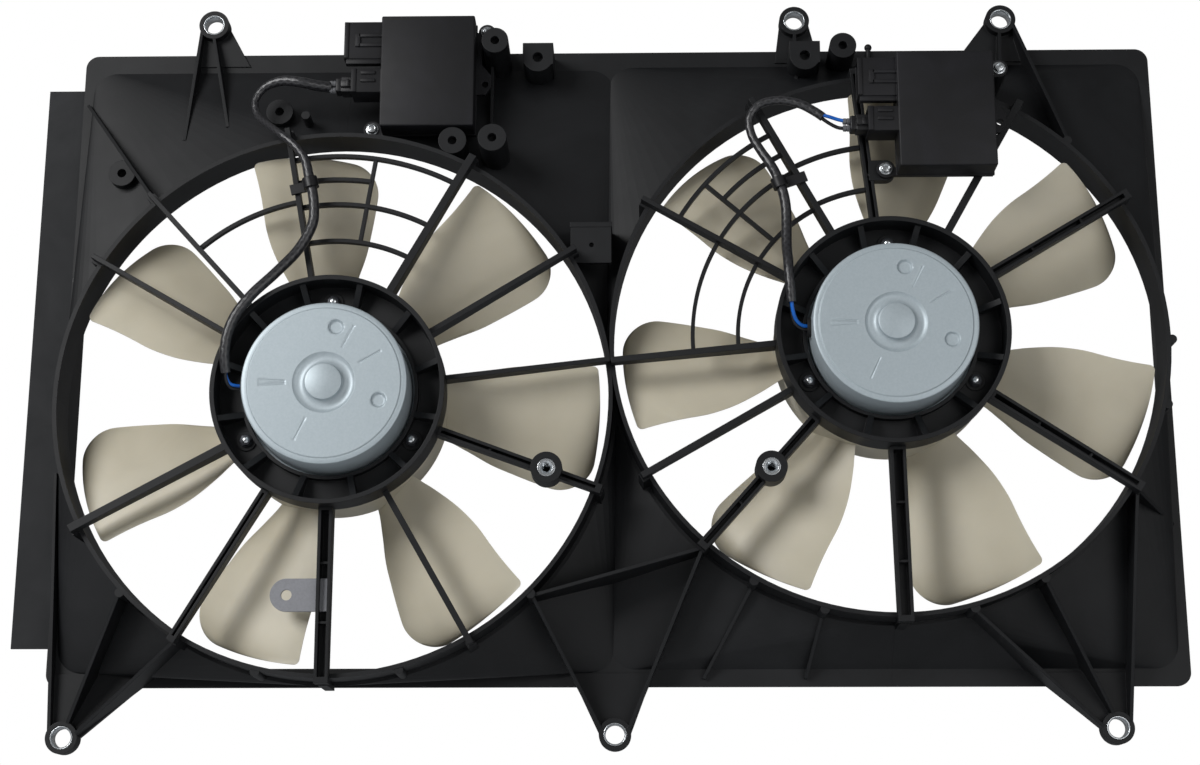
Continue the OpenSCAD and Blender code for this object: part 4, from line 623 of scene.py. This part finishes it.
bm = bmesh.new()
thread = []
for i in range(insert["threads"]):
    # thread crests one millimetre apart show as fine rings in the bore
    thread += [(insert["root"], insert["threadFrom"] + i), (insert["crest"], insert["crestFrom"] + i)]
for side, reach, angle in insert["places"]:
    addTurned(bm, insert["profile"] + thread, polar(sides[side], reach, angle), insert["steps"])
piece = finishPiece("threadedInserts", bm, brightZinc, "housing", ["threaded_inserts"], smoothAngle=30)
print("screws, bushes and inserts made")


# Control modules: cases with stepped sockets, and the leads' plugs
case = {"size": (63.8, 80.0), "depth": 20.0, "wall": 1.8, "edge": 1.1, "edgeSegments": 3, "seamGap": 0.02,
        "rimOut": 0.5, "rimIn": 1.2, "rimDepth": (-2.4, -0.05), "rimEdge": 0.3}
socketShell = {"wall": 1.6, "edge": 0.5, "root": 0.6}
# blocks: two corners counted from the case's corner and the socket's front, edge radius, segments
sockets = {
    "harness": {
        "reach": 25.6, "up": 50.0, "height": 27.0, "depth": 14.0,
        "blocks": [((-16, -1.3, 65.5), (0.4, 0.4, 68), 0.35, 2),  # latch rails round a slot
                   ((-16, -1.3, 58.5), (0.4, 0.4, 61), 0.35, 2),
                   ((-18, -1.3, 58.5), (-14.6, 0.4, 68), 0.35, 2),
                   ((-25.6, -0.9, 50.4), (-22.6, 0.4, 76.6), 0.3, 2),  # lip at the mouth
                   ((-24.4, 1, 46.6), (0.4, 6, 50.6), 0.5, 2)],  # step under the socket
    },
    "lead": {
        "reach": 19.8, "up": 24.5, "height": 17.1, "depth": 19.2,
        "blocks": [((-19.8, -0.8, 24.6), (-16.4, 0.4, 41.5), 0.3, 2),  # collar at the mouth
                   ((-13.5, -1.2, 37.2), (-3.5, 0.4, 39.6), 0.35, 2),  # rails of the latch window
                   ((-13.5, -1.2, 31.6), (-3.5, 0.4, 34), 0.35, 2)],
    },
}
# blocks and seals count from the plug's back end, where the wires enter
plug = {
    "behindSocket": 12.5, "up": 32,
    "blocks": [((5, -5.5, -5.5), (29.9, 5.5, 5.5), 0.7, 3), ((1.2, -4.9, -4.9), (5.4, 4.9, 4.9), 0.9, 3),
               ((5, -7.6, -2.6), (18, -5.1, 2.6), 0.6, 2),  # latch lever
               ((9, -8.3, -2.6), (11, -7.2, 2.6), 0.3, 2)],
    "seal": [(1.3, 0), (2.1, 0.3), (2.2, 2.2), (1.8, 2.6), (2.2, 3.0), (2.2, 5.0), (1.3, 5.2)],
    "sealAt": -3.4, "sealRises": (-2.4, 2.4), "sealSteps": 24,
}


def addShell(bm, low, high, openSide, wall, edge):
    # a rounded box with one open side; the walls grow inward
    own = boxBetween(low, high)
    own.faces.ensure_lookup_table()
    gone = max(own.faces, key=lambda f: f.calc_center_median().dot(Vector(openSide)))
    mouth = set(gone.edges)
    bmesh.ops.delete(own, geom=[gone], context="FACES_ONLY")
    roundEdges(own, [e for e in own.edges if e not in mouth], edge, case["edgeSegments"])
    bmesh.ops.recalc_face_normals(own, faces=own.faces)
    bmesh.ops.solidify(own, geom=own.faces[:], thickness=wall * mm)
    joinOn(bm, own)


for side, module in modules.items():
    x0, z0 = module["corner"]
    x1, z1 = x0 + case["size"][0], z0 + case["size"][1]
    back = module["back"]
    middle = back - case["depth"] / 2
    bm = bmesh.new()
    addShell(bm, (x0, back - case["depth"], z0), (x1, back - case["seamGap"], z1), (0, 1, 0),
             case["wall"], case["edge"])
    # seam rim round the case's open back
    out, inward = case["rimOut"], case["rimIn"]
    rimFront, rimBack = case["rimDepth"]
    for low, high in (((x0 - out, z0 - out), (x1 + out, z0 + inward)),
                      ((x0 - out, z1 - inward), (x1 + out, z1 + out)),
                      ((x0 - out, z0 + out), (x0 + inward, z1 - out)),
                      ((x1 - inward, z0 + out), (x1 + out, z1 - out))):
        strip = ((low[0], rimFront, low[1]), (high[0], rimBack, high[1]), case["rimEdge"], 2)
        addBlocks(bm, (0, back, 0), [strip])
    for socket in sockets.values():
        low = (x0 - socket["reach"], middle - socket["depth"] / 2, z0 + socket["up"])
        high = (x0 + socketShell["root"], middle + socket["depth"] / 2, low[2] + socket["height"])
        addShell(bm, low, high, (-1, 0, 0), socketShell["wall"], socketShell["edge"])
    for socket in sockets.values():
        addBlocks(bm, (x0, middle - socket["depth"] / 2, z0), socket["blocks"])
    piece = finishPiece(side + "ModuleCase", bm, caseNylon, "housing", [side + "_module_case"],
                        smoothAngle=30)
    plugEnd = x0 - sockets["lead"]["reach"] - plug["behindSocket"]
    plugHeight = z0 + plug["up"]
    bm = bmesh.new()
    addBlocks(bm, (plugEnd, middle, plugHeight), plug["blocks"])
    piece = finishPiece(side + "LeadPlug", bm, clipNylon, "housing", [side + "_lead_plug"], smoothAngle=30)
    bm = bmesh.new()
    for rise in plug["sealRises"]:
        place = Vector(((plugEnd + plug["sealAt"]) * mm, middle * mm, (plugHeight + rise) * mm))
        addTurned(bm, plug["seal"], place, plug["sealSteps"], direction=(1, 0, 0))
    piece = finishPiece(side + "WireSeals", bm, sealRubber, "housing", [side + "_lead_plug"], smoothAngle=35)
print("modules and plugs made")


# Motor leads: woven sleeves along listed points, with bare wires where the sleeve ends
# each point is X, Y, Z and the radius there, in millimetres
leads = {
    "left": {
        "sleeve": [(-194, -41, 435.2, 3.7), (-203, -45, 435, 3.7), (-212, -48, 436, 3.6),
                   (-226, -46, 438, 3.4), (-238, -44, 434, 2.7), (-244, -44, 424, 2.5),
                   (-241, -47, 412, 2.5), (-232, -56, 402, 2.5), (-222, -65, 392, 2.5),
                   (-212, -68, 383, 2.6), (-204.5, -68.5, 373, 3.0), (-201.5, -68.5, 362, 3.3),
                   (-198.5, -68.5, 350, 3.4), (-197, -68.5, 338, 3.4), (-198, -69, 326, 3.4),
                   (-206, -71, 309, 3.4), (-219, -76, 292, 3.4), (-233, -80.5, 276, 3.4),
                   (-243, -81.2, 262, 3.4), (-248, -80.8, 249, 3.4), (-249.5, -79.5, 238, 3.3),
                   (-249.3, -78, 230, 3.2), (-248.7, -76.5, 224.5, 3.1)],
        "wires": {
            "blueWire": [
                [(-249.3, -77.8, 230, 1.1), (-248.6, -76, 222.8, 1.1), (-246, -73.6, 217.8, 1.1),
                 (-240, -72, 216.8, 1.1), (-234.9, -72, 217, 1.1)]],
            "blackWire": [
                [(-249.3, -78.4, 230, 1.1), (-248.4, -75.6, 220, 1.1), (-245.5, -72.8, 215.4, 1.1),
                 (-240, -71.4, 214.6, 1.1), (-234.9, -71.6, 214.6, 1.1)],
                [(-194.5, -41, 433.6, 1.2), (-191, -41, 432.9, 1.2), (-185, -41, 432.8, 1.2)],
                [(-194.5, -41, 436.8, 1.2), (-191, -41, 437.5, 1.2), (-185, -41, 437.6, 1.2)]],
        },
    },
    "right": {
        "sleeve": [(139, -72.5, 398.5, 3.0), (134, -72, 402.5, 3.0), (124, -71, 408.5, 3.0),
                   (111, -69, 412, 2.9), (98, -67, 410, 2.8), (91, -66, 401, 2.8), (92, -66, 389, 2.9),
                   (98, -67, 377, 3.0), (103, -68.8, 368.5, 3.2), (107.4, -69, 360, 3.3),
                   (111.6, -69, 348, 3.4), (113.4, -69, 337, 3.4), (113.5, -70, 325, 3.4),
                   (113, -73.5, 309, 3.4), (113.3, -78.5, 298, 3.3), (113.5, -80.8, 289, 3.2),
                   (114.2, -81, 279.5, 3.1), (114.8, -79.6, 269, 3.0)],
        "wires": {
            "blueWire": [
                [(137, -73.5, 400, 1.2), (143, -74.6, 397.8, 1.2), (149, -74.4, 395.8, 1.2),
                 (155, -73.2, 395.1, 1.2), (160, -73, 395, 1.2)],
                [(114.6, -80.6, 272, 1.2), (115.4, -79, 264.5, 1.2), (117.6, -75.6, 258.6, 1.2),
                 (122, -72.8, 255.2, 1.2), (128.8, -72, 254.8, 1.2)]],
            "blackWire": [
                [(137, -71.8, 399, 1.2), (143, -71, 394.8, 1.2), (149, -71.4, 391.4, 1.2),
                 (155, -72.8, 390.3, 1.2), (160, -73, 390.2, 1.2)],
                [(114.8, -79.2, 272, 1.2), (115.2, -76.6, 263, 1.2), (117, -73.6, 256.6, 1.2),
                 (122, -71.6, 253.2, 1.2), (128.8, -71.6, 253, 1.2)]],
        },
    },
}
tube = {"sleeveSides": 24, "wireSides": 12, "ringsEach": 8}
insulation = {"blueWire": blueInsulation, "blackWire": blackInsulation}


def curveThrough(points):
    path = []
    last = len(points) - 1
    for i in range(last):
        near = points[max(i - 1, 0)], points[i], points[i + 1], points[min(i + 2, last)]
        for k in range(tube["ringsEach"]):
            path.append([smoothThrough(*values, k / tube["ringsEach"]) for values in zip(*near)])
    return path + [list(points[-1])]


def makeTube(points, around, uvName=None):
    # a grid rolled round the smoothed line, its ends filled
    path = curveThrough(points)
    last = len(path) - 1
    own = bmesh.new()
    if uvName:
        own.loops.layers.uv.new(uvName)
    bmesh.ops.create_grid(own, x_segments=around, y_segments=last, size=0.5, calc_uvs=bool(uvName))
    centres = [Vector(p[:3]) for p in path]
    if uvName:
        # across is the way round the sleeve and up is the way along it, in metres
        lengths = [0.0]
        for a, b in zip(centres, centres[1:]):
            lengths.append(lengths[-1] + (b - a).length)
        girth = 2 * math.pi * points[0][3]
        layer = own.loops.layers.uv[uvName]
        for face in own.faces:
            for loop in face.loops:
                i = round((loop.vert.co.y + 0.5) * last)
                loop[layer].uv = ((loop.vert.co.x + 0.5) * girth * mm, lengths[i] * mm)
    for v in own.verts:
        i = round((v.co.y + 0.5) * last)
        turn = (v.co.x + 0.5) * 2 * math.pi
        ahead = (centres[min(i + 1, last)] - centres[max(i - 1, 0)]).normalized()
        aside = ahead.cross(Vector((0, 1, 0))).normalized()
        spoke = aside * math.cos(turn) + aside.cross(ahead) * math.sin(turn)
        v.co = (centres[i] + spoke * path[i][3]) * mm
    bmesh.ops.remove_doubles(own, verts=own.verts, dist=mergeReach)
    bmesh.ops.holes_fill(own, edges=[e for e in own.edges if e.is_boundary], sides=0)
    return own


for side, lead in leads.items():
    sleeve = finishPiece(side + "LeadSleeve", makeTube(lead["sleeve"], tube["sleeveSides"], "alongLead"),
                         wovenSheath, "housing", [side + "_motor_lead"], smoothAngle=50, merge=False)
    for wire, runs in lead["wires"].items():
        bm = bmesh.new()
        for run in runs:
            joinOn(bm, makeTube(run, tube["wireSides"]))
        wireName = side + wire[0].upper() + wire[1:]
        piece = finishPiece(wireName, bm, insulation[wire], "housing", [side + "_motor_lead"], smoothAngle=50)
print("leads made")
